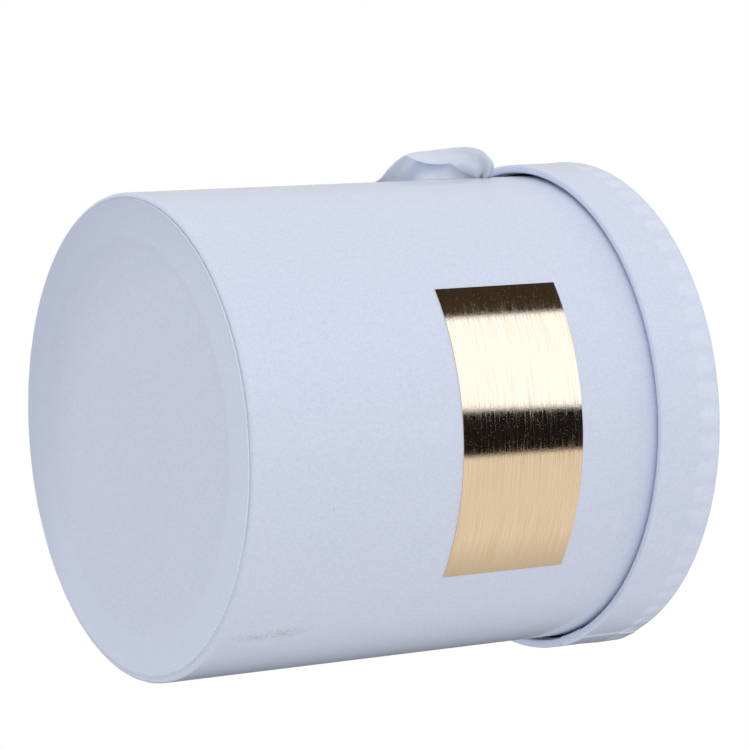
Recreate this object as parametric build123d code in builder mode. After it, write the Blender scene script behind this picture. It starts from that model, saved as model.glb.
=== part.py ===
from build123d import *

import os
from math import cos, degrees, radians, sin

# A round gift box of covered grey board, in millimetres, standing on its base.
# Z runs up from the face it stands on, the label faces -Y, the ribbon hangs at the back, +Y.
body_radius = 75.0
overall_height = 164.2
lid_depth = 22.5

# Sheets that the box is made of, and the film of glue between two of them
board = 2.0
paper = 0.25
lining = 0.2
glue = 0.05

# Room between the lid and the body
slip_gap = 0.9
seat_gap = 0.05

# Rounded edges of the board
base_edge_round = 1.2
rim_round = 0.4
lid_top_round = 0.6

# Flaps of paper that are turned over an edge, and where the linings stop short of it
rim_flap = 15.0
base_flap = 12.0
lid_rim_flap = 12.0
lid_top_flap = 6.5
lining_set_back = 4.0
sheet_step = 1.0
lining_edge_gap = 0.3

# The disc of paper under the base, a little small and pasted a little off centre
cover_margin = 2.1
cover_shift = 0.45

# Tabs that are cut in a flap so that it turns a corner
base_tabs = 45
lid_tabs = 60
slit_width = 0.6
slit_set_back = 0.5

# Lap seams of the two outer papers, as angles about Z from +X
body_lap = 14.0
body_lap_angle = 90.0
lid_lap = 12.0
lid_lap_angle = -22.0
lid_wrap_set_back = 1.1
lap_end_gap = 2.0

# Foil label, centred on -Y, its top edge a little way below the lid
label_width = 92.8
label_height = 42.9
label_drop = 26.9
label_thickness = 0.2
label_angle = -90.0

# Ribbon handle and the two holes that it goes through, just below the lid
hole_drop = 12.4
hole_radius = 3.2
neck_gap = 0.35
ribbon_width = 25.0
ribbon_thickness = 0.5
loop_slope = 45.0
back_gap = 1.0
gather_length = 38.0
band_lap = 0.5
knot_radius = 6.0
knot_gap = 0.45
tail_length = 22.0
tail_width = 10.0
tail_thickness = 1.6

# The ribbon stands further off the wall on the left, at -X, than on the right, where the box lay on it
left_stand_off = 9.0
left_bend = 6.0
left_straight = 10.0
right_stand_off = 5.6
right_bend = 4.5
right_straight = 31.0

# How far a cut runs past what it cuts
overrun = 1.0

# Radii of the body and of the lid, sheet by sheet
tube_outer = body_radius - paper - glue
tube_inner = tube_outer - board
body_bore = tube_inner - glue - lining
ring_inner = body_radius + slip_gap + lining + glue + paper + glue
ring_outer = ring_inner + board
lid_radius = ring_outer + glue + paper
lid_bore = ring_inner - glue - lining

# Heights, sheet by sheet
flap_bottom = paper + glue
board_bottom = flap_bottom + paper + glue
base_top = board_bottom + board
lid_board_top = overall_height - paper - glue
lid_board_bottom = lid_board_top - board
lid_lining_top = lid_board_bottom - glue
lid_lining_bottom = lid_lining_top - lining
body_rim = lid_lining_bottom - seat_gap
tube_top = body_rim - paper - glue
lid_rim = overall_height - lid_depth
ring_bottom = lid_rim + paper + glue
hole_height = lid_rim - hole_drop
label_bottom = lid_rim - label_drop - label_height

os.makedirs("parts", exist_ok=True)


def plane_at(angle):
    """The upright plane through Z that looks along the given angle from +X."""
    out = (cos(radians(angle)), sin(radians(angle)), 0)
    side = (sin(radians(angle)), -cos(radians(angle)), 0)
    return Plane(origin=(0, 0, 0), x_dir=out, z_dir=side)


def board_section(inner, outer, low, high, corner_round, rim_above):
    """A board wall cut through: its rim is eased both sides, its other end on the outside."""
    rim, end = (-1, 0) if rim_above else (0, -1)
    with BuildSketch(Plane.XZ) as section:
        with Locations(((inner + outer) / 2, (low + high) / 2)):
            Rectangle(outer - inner, high - low)
        fillet(section.vertices().group_by(Axis.Y)[rim], radius=rim_round)
        fillet(section.vertices().group_by(Axis.Y)[end].sort_by(Axis.X)[-1], radius=corner_round)
    return section.sketch


def sheet_section(points, radii, thickness, plane=Plane.XZ):
    """A sheet cut through: its middle line, rounded where it turns, given its thickness."""
    with BuildSketch(plane) as section:
        with BuildLine():
            FilletPolyline(*points, radius=radii)
        trace(line_width=thickness)
    return section.sketch


def flat_sector(inner, outer, low, high, middle_angle, width):
    """A piece of a tube wall, centred on an angle, with its width measured round the outside."""
    half = degrees(width / outer) / 2
    with BuildPart() as sector:
        with BuildSketch(plane_at(middle_angle - half)):
            with Locations(((inner + outer) / 2, (low + high) / 2)):
                Rectangle(outer - inner, high - low)
        revolve(axis=Axis.Z, revolution_arc=2 * half)
    return sector.part


# Wall of the body: a rolled board tube, with a hole each side for the ribbon
with BuildPart() as body_tube:
    add(board_section(tube_inner, tube_outer, board_bottom, tube_top, base_edge_round, True))
    revolve(axis=Axis.Z)
    with Locations((0, 0, hole_height)):
        Cylinder(hole_radius, 2 * (tube_outer + overrun), rotation=(0, 90, 0), mode=Mode.SUBTRACT)
body_tube.part.label = "body_tube"
export_step(body_tube.part, "parts/body_tube.step")

# Board disc in the bottom, flush with the end of the tube
with BuildPart() as base_board:
    with BuildSketch(Plane.XY.offset(board_bottom)):
        Circle(tube_inner - glue)
    extrude(amount=board)
base_board.part.label = "base_board"
export_step(base_board.part, "parts/base_board.step")

# Covering paper of the body: turned in over the rim, round the edge and under the base in tabs
wrap_radius = body_radius - paper / 2
wrap_in_radius = tube_inner - glue - paper / 2
wrap_low = flap_bottom + paper / 2
wrap_high = body_rim - paper / 2
flap_inner_radius = body_radius - base_edge_round - base_flap
edge_bend = base_edge_round + glue + paper / 2
rim_bend = rim_round + glue + paper / 2

with BuildPart() as body_wrap:
    wrap_line = [
        (flap_inner_radius, wrap_low),
        (wrap_radius, wrap_low),
        (wrap_radius, wrap_high),
        (wrap_in_radius, wrap_high),
        (wrap_in_radius, body_rim - rim_flap),
    ]
    add(sheet_section(wrap_line, [edge_bend, rim_bend, rim_bend], paper))
    revolve(axis=Axis.Z)
    add(flat_sector(wrap_radius, body_radius + paper, board_bottom + base_edge_round,
                    tube_top - rim_round, body_lap_angle, body_lap))
    slit_length = base_flap - slit_set_back
    with PolarLocations(flap_inner_radius + slit_length / 2 - overrun / 2, base_tabs):
        Box(slit_length + overrun, slit_width, 2 * board_bottom, mode=Mode.SUBTRACT)
    with Locations((0, 0, hole_height)):
        Cylinder(hole_radius, 2 * (body_radius + overrun), rotation=(0, 90, 0), mode=Mode.SUBTRACT)
body_wrap.part.label = "body_wrap"
export_step(body_wrap.part, "parts/body_wrap.step")

# Lining of the body's wall: over the turned-in paper near the rim, straight on the board below
lining_radius = tube_inner - glue - lining / 2
lining_over_flap = lining_radius - paper - glue
step_high = body_rim - rim_flap - sheet_step
step_low = step_high - sheet_step
step_bend = sheet_step / 2

with BuildPart() as body_lining:
    lining_line = [
        (lining_radius, base_top + glue),
        (lining_radius, step_low),
        (lining_over_flap, step_high),
        (lining_over_flap, body_rim - lining_set_back),
    ]
    add(sheet_section(lining_line, [step_bend, step_bend], lining))
    revolve(axis=Axis.Z)
    with Locations((0, 0, hole_height)):
        Cylinder(hole_radius, 2 * tube_inner, rotation=(0, 90, 0), mode=Mode.SUBTRACT)
body_lining.part.label = "body_lining"
export_step(body_lining.part, "parts/body_lining.step")

# Paper disc on the bottom, inside
with BuildPart() as base_lining:
    with BuildSketch(Plane.XY.offset(base_top + glue)):
        Circle(body_bore - lining_edge_gap)
    extrude(amount=lining)
base_lining.part.label = "base_lining"
export_step(base_lining.part, "parts/base_lining.step")

# Paper disc under the base: its rim lies on the tabs, its middle a sheet higher, on the board
cover_radius = body_radius - cover_margin
dish_radius = flap_inner_radius - cover_shift - sheet_step

with BuildPart() as base_cover:
    with BuildSketch(Plane.XY) as cover_sheet:
        with Locations((-cover_shift, 0)):
            Circle(cover_radius)
    extrude(amount=paper)
    with BuildSketch(Plane.XZ) as dish_room:
        with BuildLine():
            Polyline((0, 0), (dish_radius, 0), (dish_radius - sheet_step, flap_bottom),
                     (0, flap_bottom), close=True)
        make_face()
    revolve(axis=Axis.Z, mode=Mode.SUBTRACT)
    with BuildSketch(Plane.XZ) as dish_sheet:
        with BuildLine():
            Polyline((0, flap_bottom), (dish_radius - sheet_step, flap_bottom), (dish_radius, 0),
                     (dish_radius, paper), (dish_radius - sheet_step, flap_bottom + paper),
                     (0, flap_bottom + paper), close=True)
        make_face()
    revolve(axis=Axis.Z)
base_cover.part.label = "base_cover"
export_step(base_cover.part, "parts/base_cover.step")

# Wall of the lid
with BuildPart() as lid_ring:
    add(board_section(ring_inner, ring_outer, ring_bottom, lid_board_top, lid_top_round, False))
    revolve(axis=Axis.Z)
lid_ring.part.label = "lid_ring"
export_step(lid_ring.part, "parts/lid_ring.step")

# Board disc in the top of the lid, flush with the end of its wall
with BuildPart() as lid_board:
    with BuildSketch(Plane.XY.offset(lid_board_bottom)):
        Circle(ring_inner - glue)
    extrude(amount=board)
lid_board.part.label = "lid_board"
export_step(lid_board.part, "parts/lid_board.step")

# Paper disc over the lid, turned down round its edge in tabs
top_bend = lid_top_round + glue + paper / 2
tab_radius = ring_outer + glue + paper / 2
tab_end = overall_height - lid_top_flap

with BuildPart() as lid_top_paper:
    with BuildSketch(Plane.XZ):
        with BuildLine():
            FilletPolyline((0, overall_height - paper / 2), (tab_radius, overall_height - paper / 2),
                           (tab_radius, tab_end), radius=top_bend)
        trace(line_width=paper)
    revolve(axis=Axis.Z)
    slit_top = lid_board_top - lid_top_round - slit_set_back
    slit_height = slit_top - tab_end + overrun
    with Locations((0, 0, tab_end - overrun + slit_height / 2)):
        with PolarLocations(tab_radius, lid_tabs):
            Box(paper + overrun, slit_width, slit_height, mode=Mode.SUBTRACT)
lid_top_paper.part.label = "lid_top_paper"
export_step(lid_top_paper.part, "parts/lid_top_paper.step")

# Covering paper of the lid's wall: over the tabs, down, and turned in round the rim
cap_radius = lid_radius - paper / 2
cap_over_tabs = cap_radius + paper + glue
cap_in_radius = ring_inner - glue - paper / 2
cap_low = lid_rim + paper / 2
cap_top = overall_height - lid_wrap_set_back
shoulder_high = tab_end - sheet_step
shoulder_low = shoulder_high - sheet_step

with BuildPart() as lid_wrap:
    outside_line = [
        (cap_over_tabs, cap_top),
        (cap_over_tabs, shoulder_high),
        (cap_radius, shoulder_low),
    ]
    inside_line = [(cap_radius, cap_low), (cap_in_radius, cap_low),
                   (cap_in_radius, lid_rim + lid_rim_flap)]
    add(sheet_section(outside_line + inside_line, [step_bend, step_bend, rim_bend, rim_bend], paper))
    revolve(axis=Axis.Z)
    lap_span = degrees(lid_lap / lid_radius)
    lap_line = [(radius + paper, height) for radius, height in outside_line]
    lap_line.append((cap_radius + paper, lid_rim + lap_end_gap))
    add(sheet_section(lap_line, [step_bend, step_bend], paper, plane_at(lid_lap_angle - lap_span / 2)))
    revolve(axis=Axis.Z, revolution_arc=lap_span)
lid_wrap.part.label = "lid_wrap"
export_step(lid_wrap.part, "parts/lid_wrap.step")

# Lining of the lid's wall: over the turned-in paper at the rim, on the board above
cap_lining_radius = ring_inner - glue - lining / 2
cap_lining_over_flap = cap_lining_radius - paper - glue

with BuildPart() as lid_ring_lining:
    cap_lining_line = [
        (cap_lining_over_flap, lid_rim + lining_set_back),
        (cap_lining_over_flap, lid_rim + lid_rim_flap + sheet_step),
        (cap_lining_radius, lid_rim + lid_rim_flap + 2 * sheet_step),
        (cap_lining_radius, lid_lining_top),
    ]
    add(sheet_section(cap_lining_line, [step_bend, step_bend], lining))
    revolve(axis=Axis.Z)
lid_ring_lining.part.label = "lid_ring_lining"
export_step(lid_ring_lining.part, "parts/lid_ring_lining.step")

# Paper disc under the lid's top, which rests on the body's rim
with BuildPart() as lid_top_lining:
    with BuildSketch(Plane.XY.offset(lid_lining_bottom)):
        Circle(lid_bore - lining_edge_gap)
    extrude(amount=lining)
lid_top_lining.part.label = "lid_top_lining"
export_step(lid_top_lining.part, "parts/lid_top_lining.step")

# Foil label on the front of the body
label_inner = body_radius + glue
with BuildPart() as foil_label:
    add(flat_sector(label_inner, label_inner + label_thickness, label_bottom,
                    label_bottom + label_height, label_angle, label_width))
foil_label.part.label = "foil_label"
export_step(foil_label.part, "parts/foil_label.step")

# Ribbon: a loop behind the box, gathered to a round neck in each hole and knotted inside
neck_radius = hole_radius - neck_gap
knot_place = body_bore - knot_gap - knot_radius
slope = radians(loop_slope)
loop_drop = (body_radius + back_gap + ribbon_width / 2 * sin(slope)) / cos(slope)
across = (0, sin(slope), cos(slope))
loop_plane = Plane(origin=(0, 0, hole_height), x_dir=(1, 0, 0), z_dir=across)

# Steps of the gather: how far along it, then its width and its thickness, all as shares
gather_shares = [
    (0, 0, 1), (0.08, 0, 1), (0.17, 0.1, 0.65), (0.29, 0.28, 0.3), (0.5, 0.6, 0.1), (1, 1, 0)
]
corner_share = 0.49


def half_route(stand_off, bend, straight):
    """Middle line of the +X half, flat in the loop's plane: out of the hole, round the bend, then down."""
    span = body_radius + stand_off
    with BuildLine() as line:
        Line((span - bend - neck_radius, 0), (span - bend, 0))
        CenterArc((span - bend, bend), bend, -90, 90)
        Line((span, bend), (span, bend + straight))
        EllipticalCenterArc((0, bend + straight), span, loop_drop - bend - straight, arc_size=90)
    return line.wires()[0]


def plane_on(route, length):
    """The plane square to the route, a length along it, with its own x across the ribbon."""
    placed = route.moved(loop_plane.location)
    share = length / route.length
    return Plane(origin=placed @ share, x_dir=across, z_dir=placed % share)


def half_band(route):
    """The flat ribbon, from the end of the gather to the bottom of the loop."""
    with BuildPart() as band:
        with BuildSketch(loop_plane):
            trace(route, line_width=ribbon_thickness)
        extrude(amount=ribbon_width / 2, both=True)
        split(bisect_by=plane_on(route, gather_length - band_lap), keep=Keep.TOP)
    return band.part


def gathered_end(route):
    """Knot, tail, neck in the hole, and the pleats opening out to the flat ribbon."""
    with BuildPart() as end:
        for along, wide, thick in gather_shares:
            with BuildSketch(plane_on(route, along * gather_length)):
                width = 2 * neck_radius + wide * (ribbon_width - 2 * neck_radius)
                height = ribbon_thickness + thick * (2 * neck_radius - ribbon_thickness)
                RectangleRounded(width, height, corner_share * height)
        loft(ruled=True)
        with Locations((knot_place, 0, hole_height)):
            Sphere(knot_radius)
            with Locations((0, 0, -tail_length / 2)):
                Box(tail_thickness, tail_width, tail_length)
        neck_length = (route @ 0).X + neck_radius / 2 - knot_place
        with BuildSketch(Plane.YZ.offset(knot_place)):
            with Locations((0, hole_height)):
                Circle(neck_radius)
        extrude(amount=neck_length)
    return end.part


left_route = half_route(left_stand_off, left_bend, left_straight)
right_route = half_route(right_stand_off, right_bend, right_straight)

with BuildPart() as ribbon_handle:
    add(half_band(left_route))
    add(gathered_end(left_route))
    mirror(about=Plane.YZ, mode=Mode.REPLACE)
    add(half_band(right_route))
    add(gathered_end(right_route))
ribbon_handle.part.label = "ribbon_handle"
export_step(ribbon_handle.part, "parts/ribbon_handle.step")
print("length of the ribbon's loop", round(left_route.length + right_route.length, 1))
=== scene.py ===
"""Looks of a round gift box: fibre paper over board, a gold foil label and a satin ribbon handle.

The box stands on its base, +Z up, its label towards -Y. Every size is in metres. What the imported
frame knows, such as radii and heights, is read from it; what only the finish knows is named here.
"""

import logging
import math
from collections.abc import Callable, Mapping, Sequence
from dataclasses import dataclass
from enum import Enum

import bmesh
import bpy
import numpy as np
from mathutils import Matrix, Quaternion, Vector


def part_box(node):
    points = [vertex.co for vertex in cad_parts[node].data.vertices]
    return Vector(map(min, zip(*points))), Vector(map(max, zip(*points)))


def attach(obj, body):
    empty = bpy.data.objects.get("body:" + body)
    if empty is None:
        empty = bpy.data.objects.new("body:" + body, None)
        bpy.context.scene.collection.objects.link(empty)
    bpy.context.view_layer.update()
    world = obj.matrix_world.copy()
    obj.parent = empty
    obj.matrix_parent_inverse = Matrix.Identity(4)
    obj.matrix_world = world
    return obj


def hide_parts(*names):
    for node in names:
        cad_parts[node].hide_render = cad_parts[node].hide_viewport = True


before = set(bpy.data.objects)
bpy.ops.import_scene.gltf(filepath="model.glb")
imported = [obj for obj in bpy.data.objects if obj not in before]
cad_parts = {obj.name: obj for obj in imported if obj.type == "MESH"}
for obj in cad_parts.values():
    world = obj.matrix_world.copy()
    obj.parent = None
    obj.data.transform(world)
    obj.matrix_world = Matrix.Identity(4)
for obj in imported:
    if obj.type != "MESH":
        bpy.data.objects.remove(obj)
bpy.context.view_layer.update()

MM = 0.001
FULL_TURN = 2 * math.pi
HOLE_HEIGHT = 129.3 * MM
LID_TABS = 60
MERGE_DISTANCE = 0.002 * MM
NEAR_WALL = 0.1 * MM
SAME_RADIUS = 0.01 * MM
ARC_STEPS = 7
SHARP_TURN = math.radians(32)
LOG = logging.getLogger("gift_box")

Colour = tuple[float, float, float, float]
Place = tuple[float, float, float]
Span = tuple[float, float]
Sockets = dict[str, object]
# How far a sheet's points are raised, for their angles, radii and heights
Relief = Callable[[np.ndarray, np.ndarray, np.ndarray], np.ndarray]

WHITE: Colour = (1.0, 1.0, 1.0, 1.0)


class Side(Enum):
    """Which end of the ribbon is meant, as the sign of its x."""

    LEFT = -1
    RIGHT = 1


def screen_colour(red: int, green: int, blue: int) -> Colour:
    """Turns a screen colour into the linear one that shaders use.

    Args:
        red, green, blue: The colour as shown on a screen, 0 to 255.

    Returns:
        Linear red, green and blue, and an alpha of 1.
    """
    def linear(value: int) -> float:
        """One channel, by the usual screen curve."""
        share = value / 255
        return share / 12.92 if share <= 0.04045 else ((share + 0.055) / 1.055) ** 2.4
    return linear(red), linear(green), linear(blue), 1.0


def ease(value: np.ndarray, start: float, end: float) -> np.ndarray:
    """Rises smoothly from 0 at start to 1 at end: with t the clipped share, 3 t^2 - 2 t^3."""
    share = np.clip((value - start) / (end - start), 0, 1)
    return share * share * (3 - 2 * share)


def half_turned(angle: np.ndarray) -> np.ndarray:
    """The same angles, brought within half a turn of 0."""
    return np.mod(angle + math.pi, FULL_TURN) - math.pi


def joined(*parts: np.ndarray | float) -> np.ndarray:
    """Joins coordinates, which may vary along rows, columns or both, into one grid of places."""
    return np.stack(np.broadcast_arrays(*parts), axis=-1)


def round_axis(radius: np.ndarray | float, angle: np.ndarray, height: np.ndarray | float) -> np.ndarray:
    """Places at a radius r and an angle a about the box's axis: (r cos a, r sin a, height)."""
    return joined(radius * np.cos(angle), radius * np.sin(angle), height)


class Wire:
    """A value that runs through a shader, on which Python's operators add Math nodes."""

    def __init__(self, tree: "Tree", socket: bpy.types.NodeSocket) -> None:
        """Keeps the tree and the output socket that the value comes from."""
        self.tree = tree
        self.socket = socket

    def __add__(self, other: "Wire | float") -> "Wire":
        """Sum."""
        return self.tree.math("ADD", self, other)

    __radd__ = __add__

    def __sub__(self, other: "Wire | float") -> "Wire":
        """Difference."""
        return self.tree.math("SUBTRACT", self, other)

    def __rsub__(self, other: float) -> "Wire":
        """Difference from a number."""
        return self.tree.math("SUBTRACT", other, self)

    def __mul__(self, other: "Wire | float") -> "Wire":
        """Product."""
        return self.tree.math("MULTIPLY", self, other)

    __rmul__ = __mul__

    def at_most(self, other: "Wire | float") -> "Wire":
        """The smaller of two values."""
        return self.tree.math("MINIMUM", self, other)

    def rising(self, start: float, end: float) -> "Wire":
        """Goes smoothly from 0 at start to 1 at end, or falls where end is the smaller one.

        Args:
            start: The value at which the result is 0.
            end: The value at which it is 1.

        Returns:
            The share from 0 to 1.
        """
        low, high = min(start, end), max(start, end)
        settings = {"interpolation_type": "SMOOTHSTEP"}
        values = {"Value": self, "From Min": low, "From Max": high}
        risen = self.tree.node("ShaderNodeMapRange", settings, values)["Result"]
        return risen if start < end else 1 - risen


class Made:
    """A node that was added, whose outputs are read by name."""

    def __init__(self, tree: "Tree", node: bpy.types.Node) -> None:
        """Keeps the tree and the node."""
        self.tree = tree
        self.node = node

    def __getitem__(self, name: str) -> Wire:
        """One output as a wire."""
        return Wire(self.tree, self.node.outputs[name])


class Tree:
    """The node tree of one material or world while it is filled."""

    def __init__(self, owner: bpy.types.Material | bpy.types.World) -> None:
        """Empties the owner's node tree.

        Args:
            owner: What the tree belongs to.
        """
        owner.use_nodes = True
        self.nodes = owner.node_tree.nodes
        self.links = owner.node_tree.links
        self.nodes.clear()

    def node(self, kind: str, settings: Mapping[str, object] | None = None,
             values: Mapping[object, object] | None = None) -> Made:
        """Adds any node.

        Args:
            kind: The node's type.
            settings: Its own settings, set first.
            values: Numbers or wires for its inputs, by name, identifier or place.

        Returns:
            The node, whose outputs can be read by name.
        """
        node = self.nodes.new(kind)
        for name, value in (settings or {}).items():
            setattr(node, name, value)
        for name, value in (values or {}).items():
            socket = self._input(node, name)
            if isinstance(value, Wire):
                self.links.new(value.socket, socket)
            else:
                socket.default_value = value
        return Made(self, node)

    @staticmethod
    def _input(node: bpy.types.Node, name: object) -> bpy.types.NodeSocket:
        """Finds an input by its place, identifier or name."""
        if isinstance(name, int):
            return node.inputs[name]
        return next(s for s in node.inputs if name in (s.identifier, s.name))

    def math(self, operation: str, *values: Wire | float) -> Wire:
        """The result of a Math node."""
        return self.node("ShaderNodeMath", {"operation": operation}, dict(enumerate(values)))["Value"]

    def vector(self, operation: str, result: str, *values: Wire | Place) -> Wire:
        """One result, a Vector or a Value, of a Vector Math node."""
        return self.node("ShaderNodeVectorMath", {"operation": operation}, dict(enumerate(values)))[result]

    def noise(self, place: Wire, scale: float, detail: float, rough: float = 0.5) -> Wire:
        """Smooth noise from 0 to 1, about 0.5 on average."""
        values = {"Vector": place, "Scale": scale, "Detail": detail, "Roughness": rough}
        return self.node("ShaderNodeTexNoise", None, values)["Fac"]

    def streaks(self, place: Wire, per_metre: Span, detail: float, rough: float = 0.5) -> Wire:
        """Noise drawn out on a flat sheet, with so many swells a metre along it and across it."""
        return self.noise(self.vector("MULTIPLY", "Vector", place, (*per_metre, 1.0)), 1.0, detail, rough)

    def mix(self, share: Wire, first: Wire | Colour, second: Wire | Colour) -> Wire:
        """A colour between two others.

        Args:
            share: How much of the second colour there is.
            first, second: The two colours.

        Returns:
            The mixed colour.
        """
        values = {"Factor_Float": share, "A_Color": first, "B_Color": second}
        made = self.node("ShaderNodeMix", {"data_type": "RGBA"}, values)
        return Wire(self, next(s for s in made.node.outputs if s.identifier == "Result_Color"))

    def bump(self, height: Wire, distance: float) -> Wire:
        """A normal tilted by a height that varies over the surface."""
        return self.node("ShaderNodeBump", None, {"Height": height, "Distance": distance})["Normal"]

    def parts(self, place: Wire) -> Made:
        """A place's parts, under X, Y and Z."""
        return self.node("ShaderNodeSeparateXYZ", None, {"Vector": place})

    def object_place(self) -> Wire:
        """Where a point is on its own piece, which is also where it is in the box."""
        return self.node("ShaderNodeTexCoord")["Object"]

    def sheet_place(self) -> Wire:
        """Where a point is on a flat sheet before it was bent, from the piece's UV map."""
        return self.node("ShaderNodeTexCoord")["UV"]

    def seen(self) -> Wire:
        """1 for rays from the camera, a reflection or glass, and 0 for all others."""
        rays = self.node("ShaderNodeLightPath")
        return (rays["Is Camera Ray"] + rays["Is Glossy Ray"] + rays["Is Transmission Ray"]).at_most(1.0)

    def surface(self, shader: Wire) -> None:
        """Links the finished shader to the output."""
        self.node("ShaderNodeOutputMaterial", None, {"Surface": shader})


@dataclass(frozen=True)
class Dots:
    """Small soft dots in the middles of a few cells, which are picked by each cell's own colour."""

    cells_per_metre: float
    reach: Span
    picked: Span

    def share(self, tree: Tree, place: Wire) -> Wire:
        """How much of a dot there is at a place.

        Args:
            tree: The material's tree.
            place: Where the point is in the box or on its sheet.

        Returns:
            The share from 0 to 1.
        """
        cells = tree.node("ShaderNodeTexVoronoi", None, {"Vector": place, "Scale": self.cells_per_metre})
        draw = tree.node("ShaderNodeSeparateColor", None, {"Color": cells["Color"]})["Red"]
        return cells["Distance"].rising(*self.reach) * draw.rising(*self.picked)


@dataclass(frozen=True)
class Overlay:
    """A colour laid over a paper's own, as strong as its strength where its share is 1."""

    colour: Colour
    strength: float

    def share(self, tree: Tree, place: Wire) -> Wire:
        """How much of the colour there is at a place, from 0 to 1."""
        raise NotImplementedError

    def over(self, tree: Tree, place: Wire, ground: Wire) -> Wire:
        """The ground's colour with this one laid over it."""
        return tree.mix(self.share(tree, place) * self.strength, ground, self.colour)


@dataclass(frozen=True)
class Mark(Overlay):
    """A faint mark, shade or painted highlight on paper.

    The mark is an ellipsoid about a centre, whole up to its inner share and fading from there to
    its reach. One that lies outside is whole beyond its reach instead, and fades inwards. Noise
    breaks it up where it is a rubbed one.
    """

    centre: Place
    reach: Place
    inner: float
    outside: bool = False
    rubbed: bool = False
    patches_per_metre: float = 150.0
    patches: Span = (0.3, 0.55)
    wear_per_metre: float = 1500.0
    wear: Span = (0.42, 0.62)

    def share(self, tree: Tree, place: Wire) -> Wire:
        """How much of the mark there is at a place.

        Args:
            tree: The material's tree.
            place: Where the point is in the box.

        Returns:
            The share from 0 to 1.
        """
        shifted = tree.vector("SUBTRACT", "Vector", place, self.centre)
        scaled = tree.vector("MULTIPLY", "Vector", shifted, tuple(1 / length for length in self.reach))
        away = tree.vector("LENGTH", "Value", scaled)
        share = away.rising(self.inner, 1.0) if self.outside else away.rising(1.0, self.inner)
        if self.rubbed:
            share = share * tree.noise(place, self.patches_per_metre, detail=2).rising(*self.patches)
            share = share * tree.noise(place, self.wear_per_metre, detail=3, rough=0.7).rising(*self.wear)
        return share


@dataclass(frozen=True)
class TabShow(Overlay):
    """White tabs below a wrapped paper that make it a little lighter, evenly spaced round the box.

    The share rises with the cosine of count times the angle round the box. It fades towards the
    band's low and high ends, and noise makes it uneven.
    """

    count: int
    low: float
    high: float
    low_edge: float = 2 * MM
    high_edge: float = 4 * MM
    wave_span: Span = (-1.0, 0.3)
    patches_per_metre: float = 90.0
    patches: Span = (0.25, 0.75)
    least: float = 0.45

    def share(self, tree: Tree, place: Wire) -> Wire:
        """How much of a tab shows at a place.

        Args:
            tree: The material's tree.
            place: Where the point is in the box.

        Returns:
            The share from 0 to 1.
        """
        part = tree.parts(place)
        wave = tree.math("COSINE", tree.math("ARCTAN2", part["Y"], part["X"]) * float(self.count))
        above = part["Z"].rising(self.low, self.low + self.low_edge)
        below = part["Z"].rising(self.high, self.high - self.high_edge)
        patches = tree.noise(place, self.patches_per_metre, detail=2).rising(*self.patches)
        uneven = self.least + patches * (1 - self.least)
        return wave.rising(*self.wave_span) * (above * below) * uneven


@dataclass(frozen=True)
class Finish:
    """A finish of one Principled shader. Each kind of finish works out what feeds the shader."""

    name: str

    def sockets(self, tree: Tree) -> Sockets:
        """What feeds the shader, by the names of its inputs."""
        raise NotImplementedError

    def build(self) -> bpy.types.Material:
        """Makes the material.

        Returns:
            The material, ready to be put on a piece.
        """
        material = bpy.data.materials.new(self.name)
        tree = Tree(material)
        shader = tree.node("ShaderNodeBsdfPrincipled", None, self.sockets(tree))
        tree.surface(shader["BSDF"])
        return material


@dataclass(frozen=True)
class FibrePaper(Finish):
    """Fibre paper: a pale mottled ground, short fibres as relief, and a sheen at a low angle."""

    colour: Colour
    shade: Colour
    fibre: Colour
    roughness: float = 0.62
    roughness_spread: float = 0.2
    clouds_per_metre: float = 60.0
    grain_per_metre: float = 1100.0
    fibres_per_metre: float = 2400.0
    cloud_share: float = 0.14
    grain_share: float = 0.46
    fibre_share: float = 0.4
    contrast: Span = (0.35, 0.65)
    dark_fibres: Span = (0.6, 0.75)
    dark_share: float = 0.3
    fibre_height: float = 0.05 * MM
    specks: Dots = Dots(110.0, (0.045, 0.02), (0.86, 0.9))
    speck_share: float = 0.55
    grain_relief: float = 0.4
    fibre_relief: float = 0.6
    specular: float = 0.3
    sheen: float = 1.0
    sheen_roughness: float = 0.2
    sheen_index: float = 1.55
    low_angles: Span = (0.48, 0.9)
    overlays: tuple[Overlay, ...] = ()

    def sockets(self, tree: Tree) -> Sockets:
        """Works out the paper's colour with its overlays in order, its sheen and its relief.

        Args:
            tree: The material's tree.

        Returns:
            What feeds the shader.
        """
        place = tree.object_place()
        clouds = tree.noise(place, self.clouds_per_metre, detail=3, rough=0.55)
        grain = tree.noise(place, self.grain_per_metre, detail=4, rough=0.6)
        fibres = tree.noise(place, self.fibres_per_metre, detail=3, rough=0.7)
        mottle = (clouds * self.cloud_share + grain.rising(*self.contrast) * self.grain_share
                  + fibres.rising(*self.contrast) * self.fibre_share)
        ground = tree.mix(mottle, self.colour, self.shade)
        colour = tree.mix(fibres.rising(*self.dark_fibres) * self.dark_share, ground, self.fibre)
        colour = tree.mix(self.specks.share(tree, place) * self.speck_share, colour, self.fibre)
        for overlay in self.overlays:
            colour = overlay.over(tree, place, colour)
        low_angle = tree.node("ShaderNodeLayerWeight", None, {"Blend": 0.5})["Facing"]
        return {
            "Base Color": colour,
            "Roughness": self.roughness + (grain - 0.5) * self.roughness_spread,
            "Specular IOR Level": self.specular,
            "Coat Weight": low_angle.rising(*self.low_angles) * self.sheen,
            "Coat Roughness": self.sheen_roughness,
            "Coat IOR": self.sheen_index,
            "Normal": tree.bump(grain * self.grain_relief + fibres * self.fibre_relief, self.fibre_height),
        }


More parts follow.
